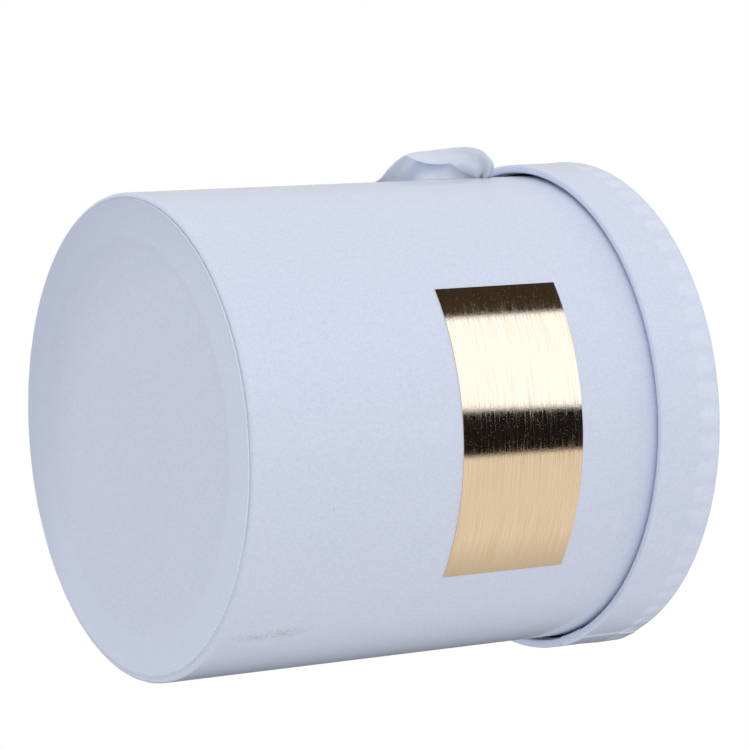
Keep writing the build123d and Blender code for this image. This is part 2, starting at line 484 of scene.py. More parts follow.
@dataclass(frozen=True)
class GreyBoard(Finish):
    """Pressed waste-paper board, flecked and rough, with layers that show at its edges."""

    name: str = "grey_board_finish"
    colour: Colour = screen_colour(158, 150, 138)
    fleck: Colour = screen_colour(118, 112, 104)
    flecks_per_metre: float = 700.0
    layers_per_metre: float = 220.0
    layer_stretch: Place = (1.0, 1.0, 6.0)
    dark_flecks: Span = (0.45, 0.7)
    fleck_share: float = 0.7
    layer_share: float = 0.2
    roughness: float = 0.8
    roughness_spread: float = 0.2
    fleck_relief: float = 0.6
    layer_relief: float = 0.4
    relief: float = 0.08 * MM

    def sockets(self, tree: Tree) -> Sockets:
        """Works out the board's flecks and layers.

        Args:
            tree: The material's tree.

        Returns:
            What feeds the shader.
        """
        place = tree.object_place()
        flecks = tree.noise(place, self.flecks_per_metre, detail=5, rough=0.7)
        pressed = tree.vector("MULTIPLY", "Vector", place, self.layer_stretch)
        layers = tree.noise(pressed, self.layers_per_metre, detail=3)
        dark = flecks.rising(*self.dark_flecks) * self.fleck_share + layers * self.layer_share
        return {
            "Base Color": tree.mix(dark, self.colour, self.fleck),
            "Roughness": self.roughness + (flecks - 0.5) * self.roughness_spread,
            "Normal": tree.bump(flecks * self.fleck_relief + layers * self.layer_relief, self.relief),
        }


@dataclass(frozen=True)
class BrushedFoil(Finish):
    """Gold foil with fine straight brush lines that run round the box, and a few raised dots."""

    name: str = "gold_foil_finish"
    colour: Colour = (0.93, 0.73, 0.49, 1.0)
    deep: Colour = (0.80, 0.58, 0.35, 1.0)
    line_length: float = 22 * MM
    lines_per_metre: float = 3600.0
    wide_lines_per_metre: float = 600.0
    peel_per_metre: float = 900.0
    peel_stretch: Place = (1.0, 1.5, 1.0)
    grit_per_metre: float = 3400.0
    sparks: Dots = Dots(3600.0, (0.45, 0.1), (0.9, 0.97))
    deep_lines: Span = (0.4, 0.6)
    deep_share: float = 0.7
    wide_share: float = 0.2
    roughness: float = 0.04
    rough_lines: Span = (0.45, 0.8)
    line_roughness: float = 0.26
    spark_roughness: float = 0.3
    line_relief: float = 0.2
    wide_relief: float = 0.25
    grit_relief: float = 0.5
    peel_relief: float = 0.3
    spark_relief: float = 0.2
    relief: float = 0.012 * MM

    def sockets(self, tree: Tree) -> Sockets:
        """Works out the foil's lines and dots. The sheet's u runs along the lines, its v across.

        Args:
            tree: The material's tree.

        Returns:
            What feeds the shader.
        """
        place = tree.sheet_place()
        lines = tree.streaks(place, (1 / self.line_length, self.lines_per_metre), detail=4, rough=0.7)
        wide = tree.streaks(place, (1 / self.line_length, self.wide_lines_per_metre), detail=3)
        peel = tree.noise(tree.vector("MULTIPLY", "Vector", place, self.peel_stretch),
                          self.peel_per_metre, detail=3, rough=0.6)
        grit = tree.noise(place, self.grit_per_metre, detail=2, rough=0.7)
        sparks = self.sparks.share(tree, place)
        relief = (lines * self.line_relief + wide * self.wide_relief + grit * self.grit_relief
                  + peel * self.peel_relief + sparks * self.spark_relief)
        roughness = self.roughness + lines.rising(*self.rough_lines) * self.line_roughness
        deep = lines.rising(*self.deep_lines) * self.deep_share + wide * self.wide_share
        return {
            "Base Color": tree.mix(deep, self.colour, self.deep),
            "Metallic": 1.0,
            "Roughness": roughness + sparks * self.spark_roughness,
            "Normal": tree.bump(relief, self.relief),
        }


@dataclass(frozen=True)
class Satin(Finish):
    """Woven satin: fine warp threads along the ribbon, slubs, and light that passes through it."""

    name: str = "white_satin_finish"
    colour: Colour = screen_colour(231, 241, 255)
    shade: Colour = screen_colour(214, 228, 255)
    threads_per_metre: Span = (160.0, 9000.0)
    slubs_per_metre: Span = (60.0, 900.0)
    thread_share: float = 0.35
    slub_share: float = 0.3
    slub_span: Span = (0.35, 0.7)
    roughness: float = 0.4
    roughness_spread: float = 0.16
    specular: float = 1.0
    passing: float = 0.6
    depth: float = 1.8 * MM
    thread_relief: float = 0.7
    slub_relief: float = 0.5
    relief: float = 0.012 * MM

    def sockets(self, tree: Tree) -> Sockets:
        """Works out the satin's threads. The sheet's u runs along the ribbon and its v across it.

        Args:
            tree: The material's tree.

        Returns:
            What feeds the shader.
        """
        place = tree.sheet_place()
        threads = tree.streaks(place, self.threads_per_metre, detail=2)
        slubs = tree.streaks(place, self.slubs_per_metre, detail=3)
        weave = threads * self.thread_share + slubs.rising(*self.slub_span) * self.slub_share
        return {
            "Base Color": tree.mix(weave, self.colour, self.shade),
            "Roughness": self.roughness + (slubs - 0.5) * self.roughness_spread,
            "Specular IOR Level": self.specular,
            "Subsurface Weight": self.passing,
            "Subsurface Radius": (1.0, 1.0, 1.0),
            "Subsurface Scale": self.depth,
            "Normal": tree.bump(threads * self.thread_relief + slubs * self.slub_relief, self.relief),
        }


@dataclass(frozen=True)
class PaperStock:
    """The box's papers: one white stock, marked in different ways, and a smoother lining."""

    white: Colour = screen_colour(222, 228, 246)
    shade: Colour = screen_colour(208, 216, 237)
    fibre: Colour = screen_colour(184, 191, 211)
    any_height: float = 1.0
    tabs_low: float = 8.9 * MM
    tabs_high: float = 1.0 * MM
    rubbed_bearing: float = math.radians(49.3)
    rubbed_radius: float = 75 * MM
    rubbed_height: float = 19 * MM
    rubbed_reach: Place = (7 * MM, 3.4 * MM, 19 * MM)
    disc_middle: Place = (-0.45 * MM, 0.0, 0.0)
    disc_edge_middle: Place = (-0.45 * MM, 0.28 * MM, 0.0)
    disc_edge: float = 72.98 * MM
    flap_edge: float = 62.5 * MM
    darkening_middle: Place = (32 * MM, -24 * MM, 0.0)
    darkening_reach: Span = (120 * MM, 108 * MM)

    def outer(self) -> bpy.types.Material:
        """Paper of the body's wall, with one rubbed mark near the base.

        Returns:
            The material.
        """
        centre = (math.sin(self.rubbed_bearing) * self.rubbed_radius,
                  -math.cos(self.rubbed_bearing) * self.rubbed_radius, self.rubbed_height)
        rubbed = Mark(screen_colour(178, 166, 164), strength=0.75, centre=centre,
                      reach=self.rubbed_reach, inner=0.0, rubbed=True)
        return self._paper("fibre_paper_finish", overlays=(rubbed,))

    def side(self) -> bpy.types.Material:
        """Paper of the lid's wall, lighter where the tabs lie under it.

        Returns:
            The material.
        """
        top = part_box("lid_top_paper")[1].z
        tabs = TabShow(screen_colour(240, 246, 255), strength=0.3, count=LID_TABS,
                       low=top - self.tabs_low, high=top + self.tabs_high)
        return self._paper("lid_paper_finish", overlays=(tabs,))

    def top(self) -> bpy.types.Material:
        """Paper of the lid's top."""
        return self._paper("top_paper_finish", sheen=0.0)

    def under(self) -> bpy.types.Material:
        """Paper of the disc under the base: light over the flaps, darker to one side's edge, painted
        highlight on its cut edge.

        Returns:
            The material.
        """
        over_flaps = Mark(screen_colour(230, 238, 255), strength=0.2, centre=self.disc_middle,
                          reach=(self.flap_edge, self.flap_edge, self.any_height), inner=0.95, outside=True)
        # Darker towards the disc's edge on its -X, +Y side, away from a point off the centre.
        edge_darkening = Mark(screen_colour(172, 180, 202), strength=0.4, centre=self.darkening_middle,
                       reach=(*self.darkening_reach, self.any_height), inner=0.6, outside=True)
        # Painted highlight: a thin bright ring along the disc's cut edge.
        edge_highlight = Mark(screen_colour(240, 245, 255), strength=0.9, centre=self.disc_edge_middle,
                        reach=(self.disc_edge, self.disc_edge, self.any_height), inner=0.998, outside=True)
        return self._paper("base_paper_finish", overlays=(over_flaps, edge_darkening, edge_highlight))

    @staticmethod
    def lining() -> bpy.types.Material:
        """Smooth lining paper."""
        return FibrePaper("lining_paper_finish", screen_colour(236, 238, 243), screen_colour(226, 229, 236),
                          screen_colour(208, 211, 220), roughness=0.7, fibre_height=0.02 * MM).build()

    def _paper(self, name: str, **look: float | tuple[Overlay, ...]) -> bpy.types.Material:
        """A covering paper of the white stock, whose look differs in what is given."""
        return FibrePaper(name, self.white, self.shade, self.fibre, **look).build()


class Skin:
    """Grids of points that together make one skin, before they become a mesh."""

    def __init__(self) -> None:
        """Starts with no grid."""
        self.points: list[np.ndarray] = []
        self.faces: list[np.ndarray] = []
        self.flat: list[np.ndarray] = []
        self.count = 0

    @classmethod
    def of(cls, points: np.ndarray, flat: np.ndarray | None = None) -> "Skin":
        """A skin of one whole grid.

        Args:
            points: Places, one for each row and column.
            flat: Where each point is on the flat sheet, for the UV map.

        Returns:
            The skin.
        """
        skin = cls()
        skin.add(points, flat=flat)
        return skin

    def add(self, points: np.ndarray, keep: np.ndarray | None = None,
            flat: np.ndarray | None = None) -> None:
        """Adds a grid. Faces point to the side where columns turn into rows by the right hand.

        Args:
            points: Places, one for each row and column.
            keep: Which of the cells between them are kept, or all of them.
            flat: Where each point is on the flat sheet, for the UV map.
        """
        rows, columns = points.shape[:2]
        index = self.count + np.arange(rows * columns).reshape(rows, columns)
        quads = np.stack((index[:-1, :-1], index[:-1, 1:], index[1:, 1:], index[1:, :-1]), axis=-1)
        self.faces.append(quads.reshape(-1, 4) if keep is None else quads[keep])
        self.points.append(points.reshape(-1, 3))
        self.flat.append(np.zeros((rows * columns, 2)) if flat is None else flat.reshape(-1, 2))
        self.count += rows * columns

    def mesh(self, name: str) -> bpy.types.Mesh:
        """Joins the grids where they meet, so that seams and poles are closed.

        Args:
            name: The mesh's name.

        Returns:
            The mesh, with the flat places as its UV map.
        """
        mesh = bpy.data.meshes.new(name)
        mesh.from_pydata(np.concatenate(self.points).tolist(), [], np.concatenate(self.faces).tolist())
        corners = np.zeros(len(mesh.loops), np.int32)
        mesh.loops.foreach_get("vertex_index", corners)
        layer = mesh.uv_layers.new(name="sheet")
        layer.data.foreach_set("uv", np.concatenate(self.flat)[corners].astype(np.float32).ravel())
        merged = bmesh.new()
        merged.from_mesh(mesh)
        bmesh.ops.remove_doubles(merged, verts=merged.verts, dist=MERGE_DISTANCE)
        merged.to_mesh(mesh)
        merged.free()
        return mesh


def add_object(name: str, content: bpy.types.ID) -> bpy.types.Object:
    """Adds an object to the scene, at the origin.

    Args:
        name: The object's name.
        content: Its mesh, camera or light.

    Returns:
        The object.
    """
    added = bpy.data.objects.new(name, content)
    bpy.context.scene.collection.objects.link(added)
    return added


def make_piece(name: str, skin: Skin, thickness: float, finish: bpy.types.Material,
               middle: bool = False) -> bpy.types.Object:
    """Makes a sheet with a real thickness out of a skin.

    Args:
        name: The piece's name.
        skin: Its outer surface, or its middle one.
        thickness: How thick the sheet is.
        finish: Its material.
        middle: Whether the skin is the sheet's middle, not its outside.

    Returns:
        The piece, with its edges sharp where they turn.
    """
    piece = add_object(name, skin.mesh(name + "_skin"))
    wall = piece.modifiers.new("wall", "SOLIDIFY")
    wall.thickness = thickness
    wall.offset = 0.0 if middle else -1.0
    wall.use_even_offset = not middle
    solid = bpy.data.meshes.new_from_object(piece.evaluated_get(bpy.context.evaluated_depsgraph_get()))
    piece.modifiers.clear()
    piece.data = solid
    solid.name = name
    solid.shade_smooth()
    solid.set_sharp_from_angle(angle=SHARP_TURN)
    solid.materials.clear()
    solid.materials.append(finish)
    return piece


def section_line(corners: Sequence[Span], bends: Sequence[float], spacing: float = 4 * MM) -> np.ndarray:
    """Points along a sheet cut through: straight runs, joined by an arc at each corner.

    An arc of radius b at a corner that turns by t starts b tan(t / 2) before it.

    Args:
        corners: Radius and height of each corner and of both ends.
        bends: The arc's radius at each corner between the ends, or 0 for none.
        spacing: The longest step on a straight run.

    Returns:
        An array of radius and height.
    """
    places = [np.array(corner, float) for corner in corners]
    line = [places[0]]

    def run_to(target: np.ndarray) -> None:
        """Adds a straight run in even steps.

        Args:
            target: The point that it runs up to.
        """
        start = line[-1]
        count = max(1, math.ceil(np.linalg.norm(target - start) / spacing))
        line.extend(start + (target - start) * k / count for k in range(1, count + 1))

    for before, corner, after, bend in zip(places, places[1:], places[2:], bends):
        if bend == 0:
            run_to(corner)
            continue
        into = (corner - before) / np.linalg.norm(corner - before)
        out = (after - corner) / np.linalg.norm(after - corner)
        turn = math.acos(float(np.clip(into @ out, -1, 1)))
        run_to(corner - into * bend * math.tan(turn / 2))
        start = line[-1]
        inward = (out - into * (into @ out)) / math.sin(turn)
        for k in range(1, ARC_STEPS + 1):
            swept = turn * k / ARC_STEPS
            line.append(start + bend * (into * math.sin(swept) + inward * (1 - math.cos(swept))))
    run_to(places[-1])
    return np.array(line)


def spread_angles(count: int, lines: Sequence[float] = ()) -> np.ndarray:
    """Angles round a full turn, evenly spaced, with extra ones where a line has to be met.

    Args:
        count: How many even steps there are.
        lines: The extra angles. An even one makes way where it is close to one of them.

    Returns:
        The angles from 0 to a full turn, in order.
    """
    even = np.linspace(0, FULL_TURN, count + 1)
    extra = np.unique(np.mod(np.array(lines, float), FULL_TURN).round(9))
    if len(extra) == 0:
        return even
    apart = np.abs(even[:, None] - extra[None, :]).min(axis=1)
    ends = (even == even[0]) | (even == even[-1])
    return np.unique(np.concatenate((even[(apart > FULL_TURN / count / 3) | ends], extra)))


@dataclass(frozen=True)
class Hole:
    """A round hole through an upright wall, with the square of grid that is redrawn round it."""

    angle: float
    height: float = HOLE_HEIGHT
    radius: float = 3.2 * MM
    square: float = 7 * MM
    rings: int = 6
    crowding: float = 0.8

    def angle_lines(self, wall: float) -> list[float]:
        """The angles at the square's two sides, on a wall of the given radius."""
        return [self.angle - self.square / wall, self.angle + self.square / wall]

    def heights(self) -> Span:
        """The heights of the square's bottom and top."""
        return self.height - self.square, self.height + self.square


@dataclass
class TurnedSheet:
    """A sheet bent round the box's axis: a section carried round, with relief along its normal."""

    name: str
    section: np.ndarray
    thickness: float
    angles: np.ndarray
    relief: Relief
    holes: Sequence[Hole] = ()

    def build(self, finish: bpy.types.Material) -> bpy.types.Object:
        """Makes the piece.

        A section point (r, z) at angle a is (r cos a, r sin a, z), moved along the section's own
        normal (dz, -dr) / length by relief(a, r, z).

        Args:
            finish: The sheet's material.

        Returns:
            The piece.
        """
        radius, height = self.section[:, :1], self.section[:, 1:]
        around = self.angles[None, :]
        tangent = np.gradient(self.section, axis=0)
        tangent /= np.linalg.norm(tangent, axis=1, keepdims=True)
        raised = self.relief(around, radius, height)
        out = np.maximum(radius + raised * tangent[:, 1:], 0)
        points = round_axis(out, around, height - raised * tangent[:, :1])
        skin = Skin()
        keep = np.ones((points.shape[0] - 1, points.shape[1] - 1), bool)
        for hole in self.holes:
            self._pierce(skin, points, keep, hole)
        skin.add(points, keep)
        return make_piece(self.name, skin, self.thickness, finish)

    def _pierce(self, skin: Skin, points: np.ndarray, keep: np.ndarray, hole: Hole) -> None:
        """Redraws the square about a hole as rings that go from the square to the circle.

        On the unrolled wall, ring k of n lies k / n, to the power of the crowding, of the way from
        each point of the square's edge to the point of the circle in the same direction.

        Args:
            skin: Takes the rings.
            points: The sheet's grid of places.
            keep: The sheet's cells, of which the square's are left out.
            hole: The hole.
        """
        wall = self._wall_radius(hole.height)
        left, right = (int(np.abs(half_turned(self.angles - side)).argmin())
                       for side in hole.angle_lines(wall))
        on_wall = np.abs(self.section[:, 0] - wall) < NEAR_WALL
        rows = [int(np.where(on_wall, np.abs(self.section[:, 1] - height), 1.0).argmin())
                for height in hole.heights()]
        bottom, top = sorted(rows)
        upward = rows[0] < rows[1]
        climb = np.arange(bottom + 1, top)[:: 1 if upward else -1]
        columns = np.arange(left, right + 1)
        loop = np.concatenate((points[rows[0], columns], points[climb, right],
                               points[rows[1], columns[::-1]], points[climb[::-1], left],
                               points[rows[0], columns[:1]]))
        keep[bottom:top, left:right] = False
        along = half_turned(np.arctan2(loop[:, 1], loop[:, 0]) - hole.angle)
        flat = joined(along * wall, loop[:, 2] - hole.height)
        circle = hole.radius * flat / np.linalg.norm(flat, axis=1, keepdims=True)
        share = np.linspace(0, 1, hole.rings + 1)[:, None, None] ** hole.crowding
        rings = flat + (circle - flat) * share
        depth = np.hypot(loop[:, 0], loop[:, 1])[None, :]
        placed = round_axis(depth, hole.angle + rings[..., 0] / wall, hole.height + rings[..., 1])
        skin.add(placed if upward else placed[::-1])

    def _wall_radius(self, height: float) -> float:
        """The section's radius where an upright run passes the height.

        Args:
            height: A height between the run's ends.

        Returns:
            The radius.
        """
        radius, heights = self.section[:, 0], self.section[:, 1]
        crossing = (heights[:-1] - height) * (heights[1:] - height) <= 0
        upright = crossing & (np.abs(np.diff(radius)) < SAME_RADIUS)
        return float(radius[:-1][upright][0])


@dataclass(frozen=True)
class Lap:
    """A lap seam: the sheet's end lies over its start, with one crisp edge and one soft step."""

    edge: float
    width: float
    rise: float
    crisp: float = 0.06 * MM
    margin: float = 0.3 * MM
    soft: float = 2.0 * MM

    def lines(self, radius: float) -> list[float]:
        """Angles where the grid needs a line to show the seam.

        Args:
            radius: The wall's radius.

        Returns:
            The angles, four about the crisp edge and five over the soft step.
        """
        places = [-self.margin, 0.0, self.crisp, self.margin]
        places += [self.width - self.soft / 2 + self.soft * k / 4 for k in range(5)]
        return [self.edge + place / radius for place in places]

    def raised(self, angle: np.ndarray, radius: float) -> np.ndarray:
        """Height of the seam: up by its rise at the crisp edge, and down again over the soft step.

        Args:
            angle: Where round the box.
            radius: The wall's radius.

        Returns:
            How far the sheet is raised.
        """
        along = half_turned(angle - self.edge) * radius
        fall = ease(along, self.width - self.soft / 2, self.width + self.soft / 2)
        return self.rise * ease(along, 0, self.crisp) * (1 - fall)

    def relief(self, radius: float) -> Relief:
        """The seam alone, as the relief of a sheet on a wall of the given radius."""
        def seam(angle: np.ndarray, out: np.ndarray, up: np.ndarray) -> np.ndarray:
            """The seam's height at each angle, the same at every radius and height."""
            return self.raised(angle, radius)
        return seam


@dataclass
class Papers:
    """What the papers of the body and of the lid have in common."""

    board: float = 2.0 * MM
    paper: float = 0.25 * MM
    lining: float = 0.2 * MM
    glue: float = 0.05 * MM
    step_bend: float = 0.5 * MM
    step_length: float = 1 * MM
    ripple: float = 0.03 * MM
    level_spacing: float = 3 * MM
    lining_columns: int = 360
    level_columns: int = 240

    def pasted(self) -> float:
        """How far one pasted sheet of covering paper stands out."""
        return self.glue + self.paper


@dataclass
class BodyPapers(Papers):
    """The papers of the body: outer wrap, disc under the base, and the two linings."""

    base_edge: float = 1.2 * MM
    base_bend: float = 1.5 * MM
    rim_bend: float = 0.7 * MM
    rim_flap: float = 15 * MM
    base_flap: float = 12 * MM
    tabs: int = 45
    tab_flat: float = 0.04 * MM
    tab_height: float = 6 * MM
    lap_start: float = 1 * MM
    wrap_columns: int = 480
    groove: float = 0.28 * MM
    groove_half: float = 0.35 * MM
    groove_edge: float = 0.3 * MM
    groove_points: tuple[float, ...] = (1.0 * MM, 0.5 * MM, 0.0)
    underside: float = 0.5 * MM
    disc_columns: int = 720
    disc_spacing: float = 2.0 * MM
    dish_rise: float = 0.3 * MM
    dish_inset: float = 12.4 * MM
    dish_points: Span = (-1.5 * MM, 1.5 * MM)
    dish_slope: Span = (-1.2 * MM, 0.8 * MM)
    flap_slope: float = 2 * MM
    slit: float = 0.05 * MM
    slit_half: float = 0.7 * MM
    lip: float = 0.12 * MM
    lip_slope: Span = (-1.0 * MM, -0.2 * MM)
    cut_wander: float = 0.12 * MM
    ripple_length: float = 9 * MM
    holes: tuple[Hole, ...] = (Hole(0.0), Hole(math.pi))
    lap: Lap = Lap(math.radians(84.7), 14 * MM, 0.25 * MM)
    lining_lap: Lap = Lap(math.radians(268), 10 * MM, 0.15 * MM)

    def wrap(self, finish: bpy.types.Material) -> bpy.types.Object:
        """Outer paper, from its flap under the base, round the edge, up, and in over the rim.

        Args:
            finish: The paper's material.

        Returns:
            The piece.
        """
        low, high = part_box("body_wrap")
        cover_low, cover_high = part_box("base_cover")
        pressed = (cover_high.x - cover_low.x) / 2 + self.groove_edge
        radius = high.x
        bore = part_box("body_tube")[1].x - self.board - self.pasted()
        floor, roof = self.holes[0].heights()
        corners = [(radius - self.base_edge - self.base_flap, low.z)]
        corners += [(pressed - back, low.z) for back in self.groove_points]
        corners += [(radius, low.z), (radius, floor), (radius, roof), (radius, high.z),
                    (bore, high.z), (bore, high.z - self.rim_flap)]
        section = section_line(corners, [0, 0, 0, self.base_bend, 0, 0, self.rim_bend, self.rim_bend])

        def relief(angle: np.ndarray, out: np.ndarray, up: np.ndarray) -> np.ndarray:
            """The lap, slight flats where tabs turn under, and a line pressed round the base disc.

            Args:
                angle, out, up: Angle, radius and height of each point.

            Returns:
                How far each point is raised.
            """
            seam = self.lap.raised(angle, radius) * (up > low.z + self.lap_start)
            flats = (np.abs(np.sin(angle * self.tabs / 2)) - 0.5) * (1 - ease(up, low.z, self.tab_height))
            line = np.exp(-((out - pressed) / self.groove_half) ** 2) * (up < low.z + self.underside)
            return seam + flats * self.tab_flat - self.groove * line

        angles = spread_angles(self.wrap_columns, self._lines(self.lap, radius))
        sheet = TurnedSheet("body_paper", section, self.paper, angles, relief, self.holes)
        return self._dress(sheet.build(finish), "body_wrap", "white_paper")

    def _lines(self, lap: Lap, radius: float) -> list[float]:
        """Angles where a wall's grid needs a line, for its seam and for the ribbon's holes."""
        return lap.lines(radius) + [side for hole in self.holes for side in hole.angle_lines(radius)]

    def cover(self, finish: bpy.types.Material) -> bpy.types.Object:
        """Disc of paper under the base, a little off centre, proud where it lies on the flaps.

        Args:
            finish: The paper's material.

        Returns:
            The piece.
        """
        low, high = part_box("base_cover")
        edge = (high.x - low.x) / 2
        dish = edge - self.dish_inset
        corners = [(0, low.z), *((dish + place, low.z) for place in self.dish_points), (edge, low.z)]

        def relief(angle: np.ndarray, out: np.ndarray, up: np.ndarray) -> np.ndarray:
            """Set back in the middle, and dipped a little over each slit between two tabs.

            Args:
                angle, out, up: Angle, radius and height of each point.

            Returns:
                How far each point is raised.
            """
            middle = 1 - ease(out, dish + self.dish_slope[0], dish + self.dish_slope[1])
            inside_lip = 1 - ease(out, edge + self.lip_slope[0], edge + self.lip_slope[1])
            band = ease(out, dish, dish + self.flap_slope) * inside_lip
            pitch = FULL_TURN / self.tabs
            across = np.abs(np.mod(angle / pitch + 0.5, 1) - 0.5) * pitch * out
            slit = self.slit * np.exp(-(across / self.slit_half) ** 2)
            return -self.dish_rise * middle - (slit + self.lip * (1 - middle)) * band

        section = section_line(corners, [0, 0], self.disc_spacing)
        sheet = TurnedSheet("base_disc", section, self.paper, spread_angles(self.disc_columns), relief)
        piece = sheet.build(finish)
        self._recut(piece, edge, (high.x + low.x) / 2)
        return self._dress(piece, "base_cover", "white_paper")

    def _recut(self, piece: bpy.types.Object, edge: float, shift: float) -> None:
        """Lets the disc's cut edge waver, and moves the disc off centre.

        With n tabs, a point at bearing b and share s of the radius moves out by the wander times
        s^13 times (|sin(n b / 2)| + sin(3 b + 2 sin 5 b)) / 2.

        Args:
            piece: The disc.
            edge: Its radius.
            shift: How far it moves along X.
        """
        places = np.zeros(3 * len(piece.data.vertices))
        piece.data.vertices.foreach_get("co", places)
        x, y = places[::3].copy(), places[1::3].copy()
        bearing = np.arctan2(y, x)
        cut = (0.5 * np.abs(np.sin(bearing * self.tabs / 2))
               + 0.5 * np.sin(3 * bearing + 2 * np.sin(5 * bearing)))
        grown = 1 + self.cut_wander / edge * cut * (np.hypot(x, y) / edge) ** 12
        places[::3] = x * grown + shift
        places[1::3] = y * grown
        piece.data.vertices.foreach_set("co", places)

    def wall_lining(self, finish: bpy.types.Material) -> bpy.types.Object:
        """Lining of the wall: over the turned-in paper near the rim, on the board below.

        Args:
            finish: The lining's material.

        Returns:
            The piece.
        """
        low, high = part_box("body_lining")
        bore = high.x - self.lining
        over = bore - self.pasted()
        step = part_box("body_wrap")[1].z - self.rim_flap - self.step_length
        floor, roof = self.holes[0].heights()
        corners = [(over, high.z), (over, step), (bore, step - self.step_length), (bore, roof),
                   (bore, floor), (bore, low.z)]
        section = section_line(corners, [self.step_bend, self.step_bend, 0, 0])
        angles = spread_angles(self.lining_columns, self._lines(self.lining_lap, bore))
        relief = self.lining_lap.relief(bore)
        sheet = TurnedSheet("body_wall_lining", section, self.lining, angles, relief, self.holes)
        return self._dress(sheet.build(finish), "body_lining", "lining_paper")

    def floor_lining(self, finish: bpy.types.Material) -> bpy.types.Object:
        """Disc of lining paper on the bottom, inside.

        Args:
            finish: The lining's material.

        Returns:
            The piece.
        """
        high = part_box("base_lining")[1]
        section = section_line([(high.x, high.z), (0, high.z)], [], self.level_spacing)

        def relief(angle: np.ndarray, out: np.ndarray, up: np.ndarray) -> np.ndarray:
            """Slight ripples: r sin(3 a + r / length), with a the angle and r the radius."""
            return self.ripple * np.sin(3 * angle + out / self.ripple_length) * (out / high.x)

        angles = spread_angles(self.level_columns)
        sheet = TurnedSheet("base_floor_lining", section, self.lining, angles, relief)
        return self._dress(sheet.build(finish), "base_lining", "lining_paper")

    @staticmethod
    def _dress(piece: bpy.types.Object, node: str, slot: str) -> bpy.types.Object:
        """Puts a piece on the part that it rides on, and hides the CAD node that it replaces.

        Args:
            piece: The piece.
            node: The CAD node that it replaces.
            slot: Not used.

        Returns:
            The piece.
        """
        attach(piece, "box_body")
        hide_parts(node)
        return piece


